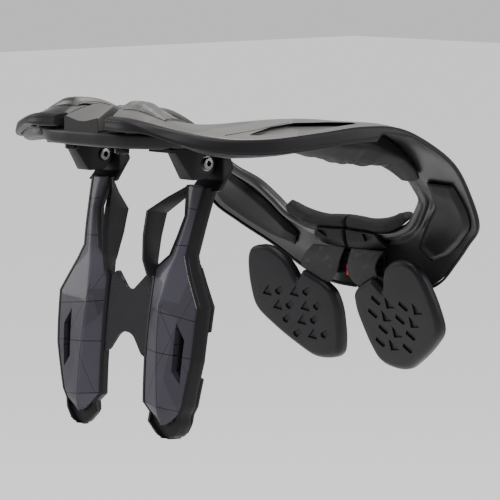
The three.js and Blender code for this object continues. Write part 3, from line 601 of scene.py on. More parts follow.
pocket = {  # hollow in the deck behind the shoulder, as stations and shares of the width
    "outline": [(5.35, 0.8, 0.84), (5.9, 0.5, 0.86), (6.6, 0.36, 0.87), (7.5, 0.5, 0.86), (8.0, 0.72, 0.84)],
    "depth": 2.1,
    "groove": [
        (4.5, 0.86, 0.885), (4.9, 0.76, 0.785), (5.4, 0.62, 0.645), (6.0, 0.43, 0.455), (6.5, 0.3, 0.32)],
    "grooveDepth": 0.9,
}


def deckCutter(outline, depth):
    over, flare = 14, 0.8

    def section(station):
        low, high = between(outline, station.t)
        floor = [station.lift(low) - depth * 0.8, station.lift(high) - depth]
        width = station.width
        return roundCorners([
            (low * width, floor[0], 0), (high * width, floor[1], 0),
            (high * width + flare, floor[1] + over, 0), (low * width - flare, floor[0] + over, 0)])
    return alongArm(outline[0][0], outline[-1][0], section, 36, 0)


def armDeck():
    hollow = deckCutter(pocket["outline"], pocket["depth"])
    groove = deckCutter(pocket["groove"], pocket["grooveDepth"])
    return subtract(alongArm(0, armEnd, deckSection, 190), hollow, groove)


makePair(armDeck, "arm_deck", "deck", sharp=38)


# rim round the deck, which ends in a step at the front of the shoulder
rim = {
    "stepAt": 8.35, "stepRun": 0.1, "shoulderFrom": 7.5, "shoulderTo": 9.2,  # stations
    "shoulderTall": 0.62, "frontTall": 0.3,  # shares of the rim's height
    "least": 2,
}


def rimSection(station):
    out = max(station.rimOut * ring["rimWidth"], rim["least"])
    tall = station.rimTall * ring["rimHeight"]
    drop = station.rimDrop * ring["rimHeight"]
    past = min(1, max(0, (station.t - rim["stepAt"]) / rim["stepRun"]))
    if station.t < rim["shoulderTo"]:
        full = rim["shoulderTall"] * ring["rimHeight"]
        slim = rim["frontTall"] * ring["rimHeight"]
        tall = tall if station.t < rim["shoulderFrom"] else full + (slim - full) * past
        drop = min(drop, tall * 0.8)
    w = station.width + ring["gap"]
    return roundCorners([
        (w, 0.4, 0.5), (w + out * 0.55, -drop * 0.15, 1.2), (w + out, -drop, 1.5),
        (w + out - 0.5, -drop - 0.3 * (tall - drop), 0.8), (w + out - 0.2, -drop - 0.7 * (tall - drop), 0.8),
        (w + out - 1, -tall, 1.4), (w, -tall, 0.8)])


def armRim():
    return alongArm(0, armEnd, rimSection, 230)


makePair(armRim, "arm_rim", "rim", sharp=40)


# closed underside behind the shoulder
keel = {
    "rows": [  # station, inner edge, bulge
        (2.5, 0.84, 0), (3, 0.76, 0.5), (3.5, 0.6, 0.85), (4, 0.4, 1), (4.7, 0.56, 1), (6, 0.66, 0.6),
        (7.6, 0.72, 0)],
    "bulge": 5, "fold": 0.5, "foldPitch": 9, "seat": 0.7,
}


def keelSection(station):
    inner, bulge = between(keel["rows"], station.t)
    w = station.width
    gap = ring["gap"]
    low = -station.rimTall * ring["rimHeight"] - bulge * keel["bulge"]
    steps = [inner + (1 - inner) * k / 4 for k in range(5)]
    under = ring["deckWall"] + keel["seat"]
    roof = [(u * w - (gap if u == 1 else 0), station.lift(u) - under, 0) for u in steps]
    fold = keel["fold"] * math.sin(station.t * keel["foldPitch"])
    return roundCorners([
        *roof, (w - gap, low * 0.8, 2.5), (w - 3.5, low + 0.3, 2.5), (inner * w + 3, low + fold, 3),
        (inner * w, low * 0.75, 2)])


def armKeel():
    return alongArm(keel["rows"][0][0], keel["rows"][-1][0], keelSection, 60)


makePair(armKeel, "arm_keel", "crumpled")


# pads of the ring
shoulderRows = [
    # station, depth, inner overhang, outer reach past the lip
    (4.8, 0.25, 0, 0.32), (6, 0.5, 0.08, 0.44), (7.2, 0.85, 0.12, 0.46), (8.5, 1, 0.14, 0.4),
    (9.5, 0.8, 0.14, 0.32), (10.3, 0.32, 0.1, 0.22), (10.9, 0.16, 0.06, 0.13), (11.4, 0.1, 0.02, 0.05),
]
shoulderPad = {"depth": 27, "crumple": 1.1}


def shoulderSection(station):
    deep, overhang, reach = between(shoulderRows, station.t)
    deep *= shoulderPad["depth"]
    lip = station.lip * ring["lipHeight"]
    top, roof, w = -lip - 0.3, -ring["deckWall"] - 0.4, station.width
    bottom = top - deep
    inner = -overhang * shoulderPad["depth"]
    loose = shoulderPad["crumple"] * min(1, deep / 12)
    sway = loose * math.sin(station.t * 5.3) + 0.5 * loose * math.sin(station.t * 13 + 1)
    lipEnd = 1.15 * lip + 0.5
    outer = lipEnd + 2 + reach * w
    return roundCorners([
        (inner, top - 0.12 * deep, 2), (inner + 2, top, 1), (lipEnd, top, 0.5),
        (lipEnd + 1, roof, 0.5), (outer, roof, 1), (outer + 2, (roof + bottom) / 2, 3),
        (outer * 0.75, bottom + 0.12 * deep + sway * 0.3, 4), (outer * 0.4, bottom + sway * 0.4, 4),
        (inner * 0.4 + 3, bottom + 0.06 * deep + sway * 0.4, 3.5), (inner + 0.3, bottom + 0.35 * deep, 3),
    ], 5)


def shoulderPiece():
    return alongArm(shoulderRows[0][0], shoulderRows[-1][0], shoulderSection, 110, 1.2)


makePair(shoulderPiece, "shoulder_pad", "foam", sharp=60)


rearPad = {
    "thickness": 5.6, "from": 0.15, "to": 2.3, "inner": 0.03, "outer": 0.8, "seat": 0.35, "inset": 0.01,
}


def rearPadSection(station):  # a swollen top over the hump, from the outer edge inwards
    thick = rearPad["thickness"] * min(1, 0.55 + 3 * station.share, 1.6 * (1.1 - station.share))
    w = station.width
    span = rearPad["outer"] - rearPad["inner"]
    steps = [rearPad["inner"] + span * k / 12 for k in range(13)]
    base = [(u * w, station.lift(u) + rearPad["seat"], 0) for u in steps]
    top = []
    for k in range(17):
        u = rearPad["outer"] - rearPad["inset"] - (span - 2 * rearPad["inset"]) * k / 16
        swell = thick * (0.55 + 0.65 * math.sin(math.pi * k / 16) ** 0.6)
        top.append((u * w, station.lift(u) + swell, 0))
    return roundCorners([*base, *top])


for padName, padFinish in (("rear_pad_right", "leather"), ("rear_pad_left", "deck")):
    padBody = alongArm(rearPad["from"], rearPad["to"], rearPadSection, 50, 1.1)
    padPiece = finishPiece(padBody, padName, padFinish, 70, padName.endswith("left"))


collar = {"from": 14.7, "height": 10, "depth": 15, "front": 3}


def collarSection(station):
    high = collar["height"] * min(1, 0.7 + station.share * 3)
    back = collar["front"] - collar["depth"] * min(1, 0.7 + station.share)
    return roundCorners([
        (-ring["gap"], 2, 0.8), (-high * 0.5, 3, 2), (-high * 0.92, 0.8, 3), (-high, 1.5 + back * 0.5, 4),
        (-high * 0.88, back + 2, 3), (-high * 0.4, back, 3), (-ring["gap"], back + 2, 1)], 4)


def collarPiece():
    return alongArm(collar["from"], armEnd, collarSection, 50, 1)


makePair(collarPiece, "collar_pad", "collar", sharp=60)


# raised moulded panel of the front plate
panel = {
    "from": 11.7, "to": 15.6, "rise": 4, "seat": 1.1, "slant": 4,
    "rows": [  # share of its length, inner edge, outer edge
        (0, 0.32, 0.8), (0.2, 0.28, 0.88), (0.4, 0.27, 0.9), (0.6, 0.27, 0.9), (0.8, 0.3, 0.86),
        (1, 0.4, 0.72)],
}


def panelSection(station):
    low, high = between(panel["rows"], station.share)
    w = station.width
    rise = panel["rise"] * min(1, 0.45 + 5 * min(station.share, 1 - station.share))
    steps = [low + (high - low) * k / 8 for k in range(9)]
    seats = [station.lift(u) - ring["deckWall"] - panel["seat"] for u in steps]
    start, run = low * w + panel["slant"], (high - low) * w - 2 * panel["slant"]
    back = [(u * w, seat, 0) for u, seat in zip(steps, seats)]
    front = [(start + run * k / 8, seat - rise, 0) for k, seat in enumerate(seats)]
    back[-1] = (*back[-1][:2], 0.8)
    front[0], front[-1] = (*front[0][:2], 3), (*front[-1][:2], 3)
    return roundCorners([*back, *reversed(front)])


def platePanel():
    return alongArm(panel["from"], panel["to"], panelSection, 60, 1.6)


makePair(platePanel, "plate_panel", "shell", sharp=42)


# latch block with its three sided hollow
latch = {"from": 16.9, "height": 9, "depth": 12.5, "chamfer": 1.5, "hollowFrom": 17.15, "hollowTo": 17.9}


def latchSection(station):
    span = 1.15 * ring["lipHeight"] + ring["gap"]
    high = latch["height"] * min(1, 0.75 + station.share)
    lip, seat = -ring["lipHeight"] - ring["gap"], -ring["deckWall"] - 2 * ring["gap"]
    low = -latch["depth"]
    return roundCorners([
        (0.5, lip, 0.6), (span, lip, 0.3), (span, seat, 0.3), (span + high * 0.5, seat, 0.6),
        (span + high * 0.5, low + latch["chamfer"], 0.9), (high, low, 0.9), (0.5, low, 0.9)])


def latchHollow():
    near, roof, below = 1.6, -10.6, -14

    def section(station):
        far = near + 1.2 + 5.6 * station.share
        return roundCorners([(near, below, 0), (far, below, 0), (far, roof, 0), (near, roof, 0)])
    return alongArm(latch["hollowFrom"], latch["hollowTo"], section, 10, 0)


def latchBlock():
    return subtract(alongArm(latch["from"], armEnd, latchSection, 30, 0.7), latchHollow())


makePair(latchBlock, "latch_block", "shell", sharp=30)


# a plate with a drawn outline, whose thickness runs along y
def thickPlate(points, start, thickness):
    bm = bmesh.new()
    bm.faces.new([bm.verts.new((p.x, start, p.y)) for p in points])
    pushFaces(bm, (0, thickness, 0))
    bmesh.ops.recalc_face_normals(bm, faces=bm.faces)
    return bm


def levelEdge(edge, axis):  # both ends at one place along an axis, 0 for x and 2 for z
    return abs(edge.verts[0].co[axis] - edge.verts[1].co[axis]) < 1e-4


# chest pads
chest = {
    "width": 106, "height": 94, "top": -114, "y": 96, "lean": 0.36, "turn": 0.05, "middle": (0.43, 0.33),
    "outline": [  # shares of the width and height, then the corner's radius
        (0.113, 0.351, 4), (0.189, 0.277, 3), (0.368, 0.186, 3), (0.453, 0.293, 4), (0.486, 0.181, 4),
        (0.538, 0.085, 6), (0.66, 0.009, 9), (0.764, 0.003, 6), (0.868, 0.037, 8), (0.925, 0.128, 8),
        (0.972, 0.309, 8), (0.991, 0.532, 8), (0.953, 0.628, 8), (0.755, 0.809, 14), (0.509, 0.973, 8),
        (0.396, 0.984, 7), (0.274, 0.963, 7), (0.198, 0.91, 6), (0.142, 0.755, 8), (0.094, 0.5, 8)],
    "layers": [  # inset from the outline and depth, from the tread side to the face
        (4.4, 0), (3.6, 0.08), (2.6, 0.45), (1.5, 1.2), (0.65, 2.3), (0.15, 3.4), (0, 4.6), (0, 8.4),
        (0.5, 9.5), (1.6, 10)],
}
tread = {
    "size": 10.4, "depth": 1.5, "over": 2, "stepX": 15.4, "stepZ": 11.8, "rows": 6, "columns": 12,
    "firstX": 8, "middleX": 60, "startDown": 0.4, "slope": 0.06, "margin": 1.1,
    "point": [(-0.42, 0.5), (-0.46, -0.42), (0.5, -0.3)],
    "slot": [(-0.5, 0.12), (-0.3, 0.42), (0.48, 0.06), (0.5, -0.2), (0.2, -0.36)],
}


def chestPlace(point):
    across, down = chest["middle"]
    middleX, middleZ = chest["width"] * across, chest["top"] - chest["height"] * down
    lean = -chest["turn"] * (point.x - middleX) - chest["lean"] * (point.z - middleZ)
    return Vector((point.x, chest["y"] + lean + point.y, point.z))


def chestCorners():
    return [(a * chest["width"], chest["top"] - d * chest["height"], r) for a, d, r in chest["outline"]]


def insetCorners(corners, distance):  # moves each side of the outline in and keeps its corners
    spots = [Vector(corner[:2]) for corner in corners]
    side = loopSide(spots)
    moved = []
    for i, here in enumerate(spots):
        before = (here - spots[i - 1]).normalized()
        after = (spots[(i + 1) % len(spots)] - here).normalized()
        sideways = [Vector((-run.y, run.x)) * side for run in (before, after)]
        reach = (sideways[0] + sideways[1]) / (1 + sideways[0].dot(sideways[1]))
        turn = before.cross(after) * side
        radius = corners[i][2] + (distance if turn < 0 else -distance * 0.5)
        moved.append((*(here + reach * distance), max(0.8, radius)))
    return moved


def insideLoop(point, loop, margin):
    inside = False
    nearest = 1e9
    for i, here in enumerate(loop):
        last = loop[i - 1]
        if (here.y > point.y) != (last.y > point.y):
            if point.x < (last.x - here.x) * (point.y - here.y) / (last.y - here.y) + here.x:
                inside = not inside
        run = here - last
        share = max(0, min(1, (point - last).dot(run) / max(run.length_squared, 1e-9)))
        nearest = min(nearest, (last + run * share - point).length)
    return inside and nearest > margin


def treadPits(loop):
    cutters = bmesh.new()
    size = tread["size"]
    start = chest["top"] - chest["height"] * tread["startDown"]
    for row in range(tread["rows"]):
        for column in range(tread["columns"]):
            x = tread["firstX"] + (column + row % 2 * 0.5) * tread["stepX"]
            z = start - row * tread["stepZ"] - (x - tread["middleX"]) * tread["slope"]
            if not insideLoop(Vector((x, z)), loop, size * tread["margin"]):
                continue
            shape = tread["point" if (column + row) % 2 else "slot"]
            points = [Vector((x + a * size, z + b * size)) for a, b in shape]
            joinMeshes(cutters, thickPlate(points, -tread["over"], tread["depth"] + tread["over"]))
    return cutters


def chestPad():
    rings = []
    for inset, depth in chest["layers"]:
        loop = roundCorners(insetCorners(chestCorners(), inset), 4)
        rings.append([Vector((p.x, depth, p.y)) for p in loop])
    pad = sweepRings(rings)
    bmesh.ops.recalc_face_normals(pad, faces=pad.faces)
    pad = subtract(pad, treadPits(roundCorners(chestCorners(), 4)))
    for vert in pad.verts:
        vert.co = chestPlace(vert.co)
    return pad


makePair(chestPad, "chest_pad", "foam", sharp=35)


# straps and latch
closure = {
    "place": 0.62, "barThickness": 3, "barLength": 34, "barHeight": 20, "barStart": 0.4, "ribs": 4,
    "ribHeight": 2.6, "tabWidth": 9, "tabHeight": 9, "tabThickness": 2, "tabGap": 0.5,
}
strapSize = {
    "thickness": 2.6, "width": 35, "innerX": 4, "bow": 5, "shift": 3, "narrow": 10, "narrowFrom": 0.45,
    "rows": 24, "columns": 14, "edge": 0.35, "seat": 4, "gap": 0.5,
}


def closurePlace():  # the latch bars' rear face and middle height, and the straps' top
    end = Station(armEnd)
    middle = end.inner.lerp(end.outer, closure["place"])
    gap = 2 * ring["gap"]
    reach = 1.15 * ring["lipHeight"] + ring["gap"] + latch["height"] / 2
    blockEnd = end.point(reach, latch["chamfer"] - latch["depth"])
    return middle.y - ring["deckWall"] - gap - closure["barThickness"], middle.z, blockEnd.z - gap


barY, barZ, strapTop = closurePlace()


def strap():
    startY = barY - closure["tabGap"] - closure["tabThickness"] - ring["gap"] - strapSize["thickness"]
    (firstX, firstZ), (secondX, secondZ) = (corner[:2] for corner in chestCorners()[1:3])  # the tab's edge
    slope = (secondZ - firstZ) / (secondX - firstX)
    rings = []
    for k in range(strapSize["rows"] + 1):
        s = k / strapSize["rows"]
        late = max(0, (s - strapSize["narrowFrom"]) / (1 - strapSize["narrowFrom"]))
        front, back = [], []
        for c in range(strapSize["columns"] + 1):
            share = c / strapSize["columns"]
            narrow = strapSize["narrow"] * (1 - share) * late ** 1.5
            x = strapSize["innerX"] + strapSize["width"] * share + strapSize["shift"] * s + narrow
            endZ = firstZ + (x - firstX) * slope + strapSize["gap"]
            end = chestPlace(Vector((x, strapSize["seat"], endZ)))
            thin = strapSize["edge"] * max(0, 1 - min(c, strapSize["columns"] - c) / 2)
            z = strapTop + (endZ - strapTop) * s
            y = startY + (end.y - startY) * s - strapSize["bow"] * math.sin(math.pi * s)
            front.append(Vector((x, y + thin * 2, z)))
            back.insert(0, Vector((x, y + strapSize["thickness"] - thin * 2, z)))
        rings.append(front + back)
    return sweepRings(rings)


makePair(strap, "strap", "strap", sharp=50)


def blockBetween(low, high):
    bm = bmesh.new()
    bmesh.ops.create_cube(bm, size=1)
    span = [high[i] - low[i] for i in range(3)]
    bmesh.ops.scale(bm, vec=span, verts=bm.verts)
    bmesh.ops.translate(bm, vec=[low[i] + span[i] / 2 for i in range(3)], verts=bm.verts)
    return bm


def latchBar():
    half, start, length = closure["barHeight"] / 2, closure["barStart"], closure["barLength"]
    front = barY + closure["barThickness"]
    bar = blockBetween((start, barY + 1.1, barZ - half), (start + length, front, barZ + half))
    for k in range(closure["ribs"]):
        low = barZ - half + 1 + k * closure["barHeight"] / closure["ribs"]
        joinMeshes(bar, blockBetween((1, barY, low), (length - 1, barY + 1.3, low + closure["ribHeight"])))
    return bar


makePair(latchBar, "latch_bar", "shell", bevel=0.4)


def releaseTab():
    low = barZ - closure["barHeight"] / 2
    wide, tall = closure["tabWidth"], closure["tabHeight"]
    face = roundCorners([
        (-0.4 * wide, low, 1), (0.6 * wide, low, 2), (0.6 * wide, low + tall * 0.7, 2.5),
        (-0.4 * wide, low + tall, 2)], 4)
    return thickPlate(face, barY - closure["tabGap"] - closure["tabThickness"], closure["tabThickness"])


finishPiece(releaseTab(), "release_tab", "red", bevel=0.4)
print("closure ready")


# wings
wing = {
    "length": 186, "top": -46, "width": 90, "bow": 27, "faceY": -105, "coverThickness": 3, "ridge": 4.5,
    "frameDepth": 7, "innerBack": 4.5, "outerBack": 11, "innerFlare": 0.8, "outerFlare": 4.5,
    "padThickness": 6, "padRecess": 5, "slotTop": 0.535, "slotX": 0.7, "slotLength": 44, "slotWidth": 8,
    "innerBand": 2.3, "outerBand": 1, "bowEnd": 0.94,
}
wingStations = [
    # down, inner edge, outer edge, ridge, ridge height
    (0, 0.48, 0.7, 0.59, 0.15), (0.12, 0.535, 0.672, 0.6, 0.15), (0.2, 0.49, 0.655, 0.57, 0.2),
    (0.275, 0.435, 0.635, 0.54, 0.3), (0.335, 0.278, 0.695, 0.5, 0.55), (0.468, 0.27, 0.865, 0.45, 1),
    (0.6, 0.264, 0.852, 0.46, 1), (0.68, 0.262, 0.84, 0.47, 1), (0.866, 0.265, 0.746, 0.5, 1),
    (0.9, 0.35, 0.7, 0.51, 0.8), (0.945, 0.47, 0.57, 0.52, 0.4),
]
chinStations = [(0.94, 0.33, 0.69), (0.98, 0.42, 0.64), (1, 0.48, 0.58)]
chinStart = 0.9  # the frame and the pad run on to the chin below this


def wingZ(down):
    return wing["top"] - down * wing["length"]


def wingPlace(x, z, depth):
    down = (wing["top"] - z) / (wing["length"] * wing["bowEnd"])
    return Vector((x, wing["faceY"] - wing["bow"] * (2 * down - down * down) + depth, z))


def wingRow(down):
    inner, outer, ridge, rise = between(wingStations, down)
    return inner * wing["width"], outer * wing["width"], ridge * wing["width"], rise * wing["ridge"]


def wingEdges(down):
    row = wingRow(min(down, chinStart))[:2]
    if down <= chinStart:
        return row
    share = min(1, (down - chinStart) / (chinStations[0][0] - chinStart))
    return [a + (b * wing["width"] - a) * share for a, b in zip(row, between(chinStations, down))]


def alongWing(rows, section, closeRound=0.8, most=0.02):  # rows start with a place down the wing
    steps = [rows[0][0]]
    for low, high in zip(rows, rows[1:]):
        count = max(1, math.ceil((high[0] - low[0]) / most))
        steps += [low[0] + (high[0] - low[0]) * k / count for k in range(1, count + 1)]
    rings = []
    for k, down in enumerate(steps):
        loop = roundCorners(section(down), 3)
        loops = endLoops(loop, closeRound, k == 0) if k in (0, len(steps) - 1) else [(loop, 0)]
        for points, forward in loops:
            rings.append([wingPlace(p.x, wingZ(down) - forward, p.y) for p in points])
    return sweepRings(rings)


def bendOnWing(bm, heights):  # a flat plate takes the wing's bow
    bendRows(bm, Vector((0, 0, 1)), heights)
    for vert in bm.verts:
        vert.co = wingPlace(vert.co.x, vert.co.z, vert.co.y)
    return bm


def slotCutter(grow=0.0, depth=7.0):
    top, long, over = wingZ(wing["slotTop"]), wing["slotLength"], 12
    x, half = wing["width"] * wing["slotX"], wing["slotWidth"] / 2
    outline = [
        (x - half * 0.6, top), (x + half, top - long * 0.27), (x + half * 0.4, top - long),
        (x - half, top - long * 0.8)]
    points = shrinkLoop([Vector(corner) for corner in outline], -grow)
    return bendOnWing(thickPlate(points, -over, depth + over), [top - long * k / 10 for k in range(1, 10)])


def coverSection(down):
    inner, outer, ridge, rise = wingRow(down)
    inner += wing["innerBand"]
    outer -= wing["outerBand"]
    low, high = inner + 1.2, outer - 1.2
    return [
        (inner, wing["coverThickness"], 0.3), (inner, 0.9, 0.3), (low, 0, 0.8), (ridge - 1.2, -rise, 1),
        (ridge + 1.2, -rise, 1), (high, 0, 0.8), (outer, 0.9, 0.3), (outer, wing["coverThickness"], 0.3)]


def wingCover():
    return subtract(alongWing(wingStations, coverSection), slotCutter(1.3, 5))


makePair(wingCover, "wing_cover", "panel", sharp=14)


def frameSection(down):  # a tray with a dark band round the cover
    inner, outer = wingEdges(down)
    start = wing["coverThickness"] + ring["gap"]
    low, high = inner + wing["innerBand"] - 0.2, outer - wing["outerBand"] + 0.2
    return [
        (low, start, 0), (low, 0.4, 0.3), (inner - 0.95, 1.2, 0.5),
        (inner - 0.95, wing["innerBack"] + 0.4, 0.4), (outer + wing["outerFlare"], wing["outerBack"], 1.4),
        (outer + wing["outerFlare"], wing["frameDepth"] + 0.4, 1.6), (outer + 2.1, 1.3, 0.6),
        (high, 0.4, 0.3), (high, start, 0)]


frameStations = [*[(row[0],) for row in wingStations[:-1]], *[(row[0],) for row in chinStations]]


def plateFromSide(corners, low, high, radius=1.5):  # corners are y and z, the thickness runs along x
    loop = roundCorners([(y, z, radius) for y, z in corners], 3)
    bm = bmesh.new()
    bm.faces.new([bm.verts.new((low, p.x, p.y)) for p in loop])
    pushFaces(bm, (high - low, 0, 0))
    bmesh.ops.recalc_face_normals(bm, faces=bm.faces)
    bevelWhere(bm, lambda edge: levelEdge(edge, 0), 1.1, 3)
    return bm


pivot = {"y": -104.5, "z": -29, "middleX": 58, "innerX": 50, "outerX": 66, "clevis": 7, "front": -95.5}
hub = {
    "halfWidth": 14, "down": 0.02, "gap": 1.2, "above": 5, "noseY": 13, "noseZ": -4,
    "tongueLow": (4, -7), "tongueHigh": (12, 3.5),  # y and z from the pivot
}


def wingHub():
    foot, top, middle = wingZ(hub["down"]), pivot["z"] + hub["above"], pivot["middleX"]
    rear = wingPlace(0, foot, wing["coverThickness"] + 1.5).y
    start = pivot["front"] + hub["gap"]
    corners = [
        (start, top), (pivot["front"] + 9, top), (pivot["front"] + hub["noseY"], pivot["z"] + hub["noseZ"]),
        (wingPlace(0, foot, wing["outerBack"]).y, foot), (rear, foot), (start, wing["top"] + 4)]
    block = plateFromSide(corners, middle - hub["halfWidth"], middle + hub["halfWidth"])
    half = pivot["clevis"] / 2
    ends = [(pivot["y"] + y, pivot["z"] + z) for y, z in (hub["tongueLow"], hub["tongueHigh"])]
    return joinMeshes(block, blockBetween((middle - half, *ends[0]), (middle + half, *ends[1])))


branch = {
    "thickness": 4, "rise": 13, "lean": -0.4, "steps": 6,
    "rows": [  # row, x, place down and rise of the rear edge, x, place down and depth of the front edge
        (0, 0.5, 0, -0.2, 0.56, 0, 1), (1, 0.36, 0.05, 0.4, 0.42, 0.06, 0.9),
        (2, 0.25, 0.105, 1.1, 0.25, 0.12, 0.85), (3, 0.245, 0.2, 1, 0.245, 0.215, 0.75),
        (4, 0.24, 0.3, 0.7, 0.265, 0.31, 0.6), (5, 0.26, 0.365, 0.3, 0.3, 0.365, 0.6)],
}


def wingBranch():
    rings = []
    half = branch["thickness"] / 2
    for k in range(branch["rows"][-1][0] * branch["steps"] + 1):
        rearX, rearDown, rise, frontX, frontDown, depth = between(branch["rows"], k / branch["steps"])
        rear = wingPlace(rearX * wing["width"], wingZ(rearDown), -rise * branch["rise"])
        front = wingPlace(frontX * wing["width"], wingZ(frontDown), depth * wing["frameDepth"])
        run = front - rear
        wide = run.length
        corners = roundCorners([(0, -half, 1), (0, half, 1), (wide, half, 1), (wide, -half, 1)], 3)
        ahead = run.normalized()
        rings.append([rear + ahead * p.x + Vector((1, branch["lean"], 0)) * p.y for p in corners])
    return sweepRings(rings)


def wingFrame():
    tray = alongWing(frameStations, frameSection, 1.2)
    return joinMeshes(subtract(tray, slotCutter(depth=6)), wingHub(), wingBranch())


makePair(wingFrame, "wing_frame", "rim", sharp=30)


wingPadRows = [  # down, recess beside the slot, share of the thickness
    (0.31, 0, 0.3), (0.335, 0, 0.6), (0.468, 0, 1), (0.565, 0, 1), (0.575, 1, 1), (0.745, 1, 1),
    (0.755, 0, 1), (0.866, 0, 1), (0.9, 0, 1), (0.95, 0, 0.6), (0.99, 0, 0.3),
]


def wingPadSection(down):
    recess, full = between(wingPadRows, down)
    innerEdge, outerEdge = wingEdges(down)
    inner = innerEdge + 0.5
    outer = outerEdge + wing["outerFlare"] - 1 - recess * wing["padRecess"]
    start, end = innerEdge - wing["innerFlare"], outerEdge + wing["outerFlare"]
    slope = (wing["outerBack"] - wing["innerBack"]) / (end - start)
    back = wing["innerBack"] + 1
    rearInner, rearMiddle, rearOuter = (back + slope * (x - start) for x in (inner, inner + 5, outer))
    thick = wing["padThickness"] * full
    return [
        (inner, rearInner, 0.5), (inner + 0.3, rearInner + 0.5 * thick, 1.5),
        (inner + 5, rearMiddle + 0.85 * thick, 4), (outer - 5, rearOuter + thick, 4),
        (outer, rearOuter + 0.5 * thick, 2.5), (outer, rearOuter, 0.8)]


def wingPad():
    return alongWing(wingPadRows, wingPadSection, 1.5)


makePair(wingPad, "wing_pad", "foam", sharp=60)


# plain rubber web between the wings
web = {
    "outline": [  # share of the half width, place down the wing, radius
        (1, 0.385, 1), (0.75, 0.36, 2), (0.14, 0.43, 3), (-0.14, 0.43, 3), (-0.75, 0.36, 2), (-1, 0.385, 1),
        (-1, 0.69, 1), (-0.8, 0.68, 2), (-0.3, 0.6, 6), (0.3, 0.6, 6), (0.8, 0.68, 2), (1, 0.69, 1)],
    "depth": 2, "thickness": 3, "top": 0.36, "length": 0.33,
}


def wingWeb():
    half = wingRow(0.6)[0] - wing["innerFlare"] - ring["gap"]
    loop = roundCorners([(a * half, wingZ(d), r) for a, d, r in web["outline"]], 4)
    heights = [wingZ(web["top"] + web["length"] * k / 14) for k in range(1, 14)]
    return bendOnWing(thickPlate(loop, web["depth"], web["thickness"]), heights)


finishPiece(wingWeb(), "wing_web", "rubber", sharp=30)
print("wings ready")


# rear table with its saddle
table = {
    "top": -5.4, "thickness": 11, "halfWidth": 78, "rearEdge": 170, "frontEdge": 98, "frontWidth": 0.96,
    "outline": [(0.24, 1, 5), (0.55, 0.985, 8), (0.8, 0.92, 8), (0.95, 0.84, 6), (1, 0.72, 6)],
    "hingeX": 28, "hingeY": -154, "underside": (0.955, 0.975, 1), "underShift": -3, "edge": 2.6,
}
saddle = {
    "height": 19, "halfWidth": 19, "sunk": 2, "steps": 8,
    "rows": [  # row, then back, half width, height at the middle and at the sides
        (0, 0.995, 1, 0.32, 0.55), (1, 0.94, 0.86, 0.6, 0.75), (2, 0.87, 0.62, 1, 0.96),
        (3, 0.8, 0.42, 0.8, 0.72), (4, 0.71, 0.2, 0.66, 0.6)],
}


def saddleBlock():
    rings = []
    for k in range(saddle["rows"][-1][0] * saddle["steps"] + 1):
        back, half, middle, side = between(saddle["rows"], k / saddle["steps"])
        x, base = half * saddle["halfWidth"], table["top"] - saddle["sunk"]
        low, high = table["top"] + middle * saddle["height"], table["top"] + side * saddle["height"]
        loop = roundCorners([(-x, base, 0), (x, base, 0), (x, high, 1.5), (0, low, 8), (-x, high, 1.5)], 6)
        rings.append([Vector((p.x, -back * table["rearEdge"], p.y)) for p in loop])
    return sweepRings(rings)


def rearTable():
    right = [(a * table["halfWidth"], -b * table["rearEdge"], r) for a, b, r in table["outline"]]
    right.append((table["frontWidth"] * table["halfWidth"], -table["frontEdge"], 4))
    left = [(-x, y, r) for x, y, r in reversed(right)]
    loop = roundCorners(right + left, 4)
    bm = bmesh.new()
    bm.faces.new([bm.verts.new((p.x, p.y, table["top"])) for p in loop])
    lower = pushFaces(bm, (0, 0, -table["thickness"]))
    bmesh.ops.scale(bm, vec=table["underside"], verts=lower)
    bmesh.ops.translate(bm, vec=(0, table["underShift"], 0), verts=lower)
    bmesh.ops.recalc_face_normals(bm, faces=bm.faces)
    bevelWhere(bm, lambda edge: levelEdge(edge, 2), table["edge"], 4)
    return joinMeshes(bm, saddleBlock())


finishPiece(rearTable(), "rear_table", "table", sharp=34)
print("table ready")


# hinge pins, brackets and bolts
def disc(radius, low, high, centre, sides, axis="z"):
    bm = bmesh.new()
    bmesh.ops.create_cone(bm, cap_ends=True, segments=sides, radius1=radius, radius2=radius, depth=high - low)
    if axis == "x":
        turn = Vector((0, 0, 1)).rotation_difference(Vector((1, 0, 0)))
        bmesh.ops.rotate(bm, verts=bm.verts, cent=(0, 0, 0), matrix=turn.to_matrix())
    middle = (low + high) / 2
    place = (middle, *centre) if axis == "x" else (*centre, middle)
    bmesh.ops.translate(bm, vec=place, verts=bm.verts)
    return bm


pin = {"radius": 3, "top": 3.5, "nutRadius": 6, "nutHeight": 4, "capRadius": 3.6, "capEnd": 5}


def hingePin():
    under = table["top"] - table["thickness"]
    centre = (table["hingeX"], table["hingeY"])
    seat = under - ring["gap"]
    shaft = disc(pin["radius"], under - 3, pin["top"], centre, 40)
    nut = disc(pin["nutRadius"], seat - pin["nutHeight"], seat, centre, 6)
    return joinMeshes(shaft, nut, disc(pin["capRadius"], under - pin["capEnd"], under - 4, centre, 40))


makePair(hingePin, "hinge_pin", "darkSteel", bevel=0.4)


bracket = {
    "length": 38, "depth": 22, "plateThickness": 2, "plateLength": 48, "plateWidth": 24,
    "taper": 0.45, "taperFrom": 18, "seatRadius": 6, "seatDepth": 0.7, "holeRadius": 2.9,
}


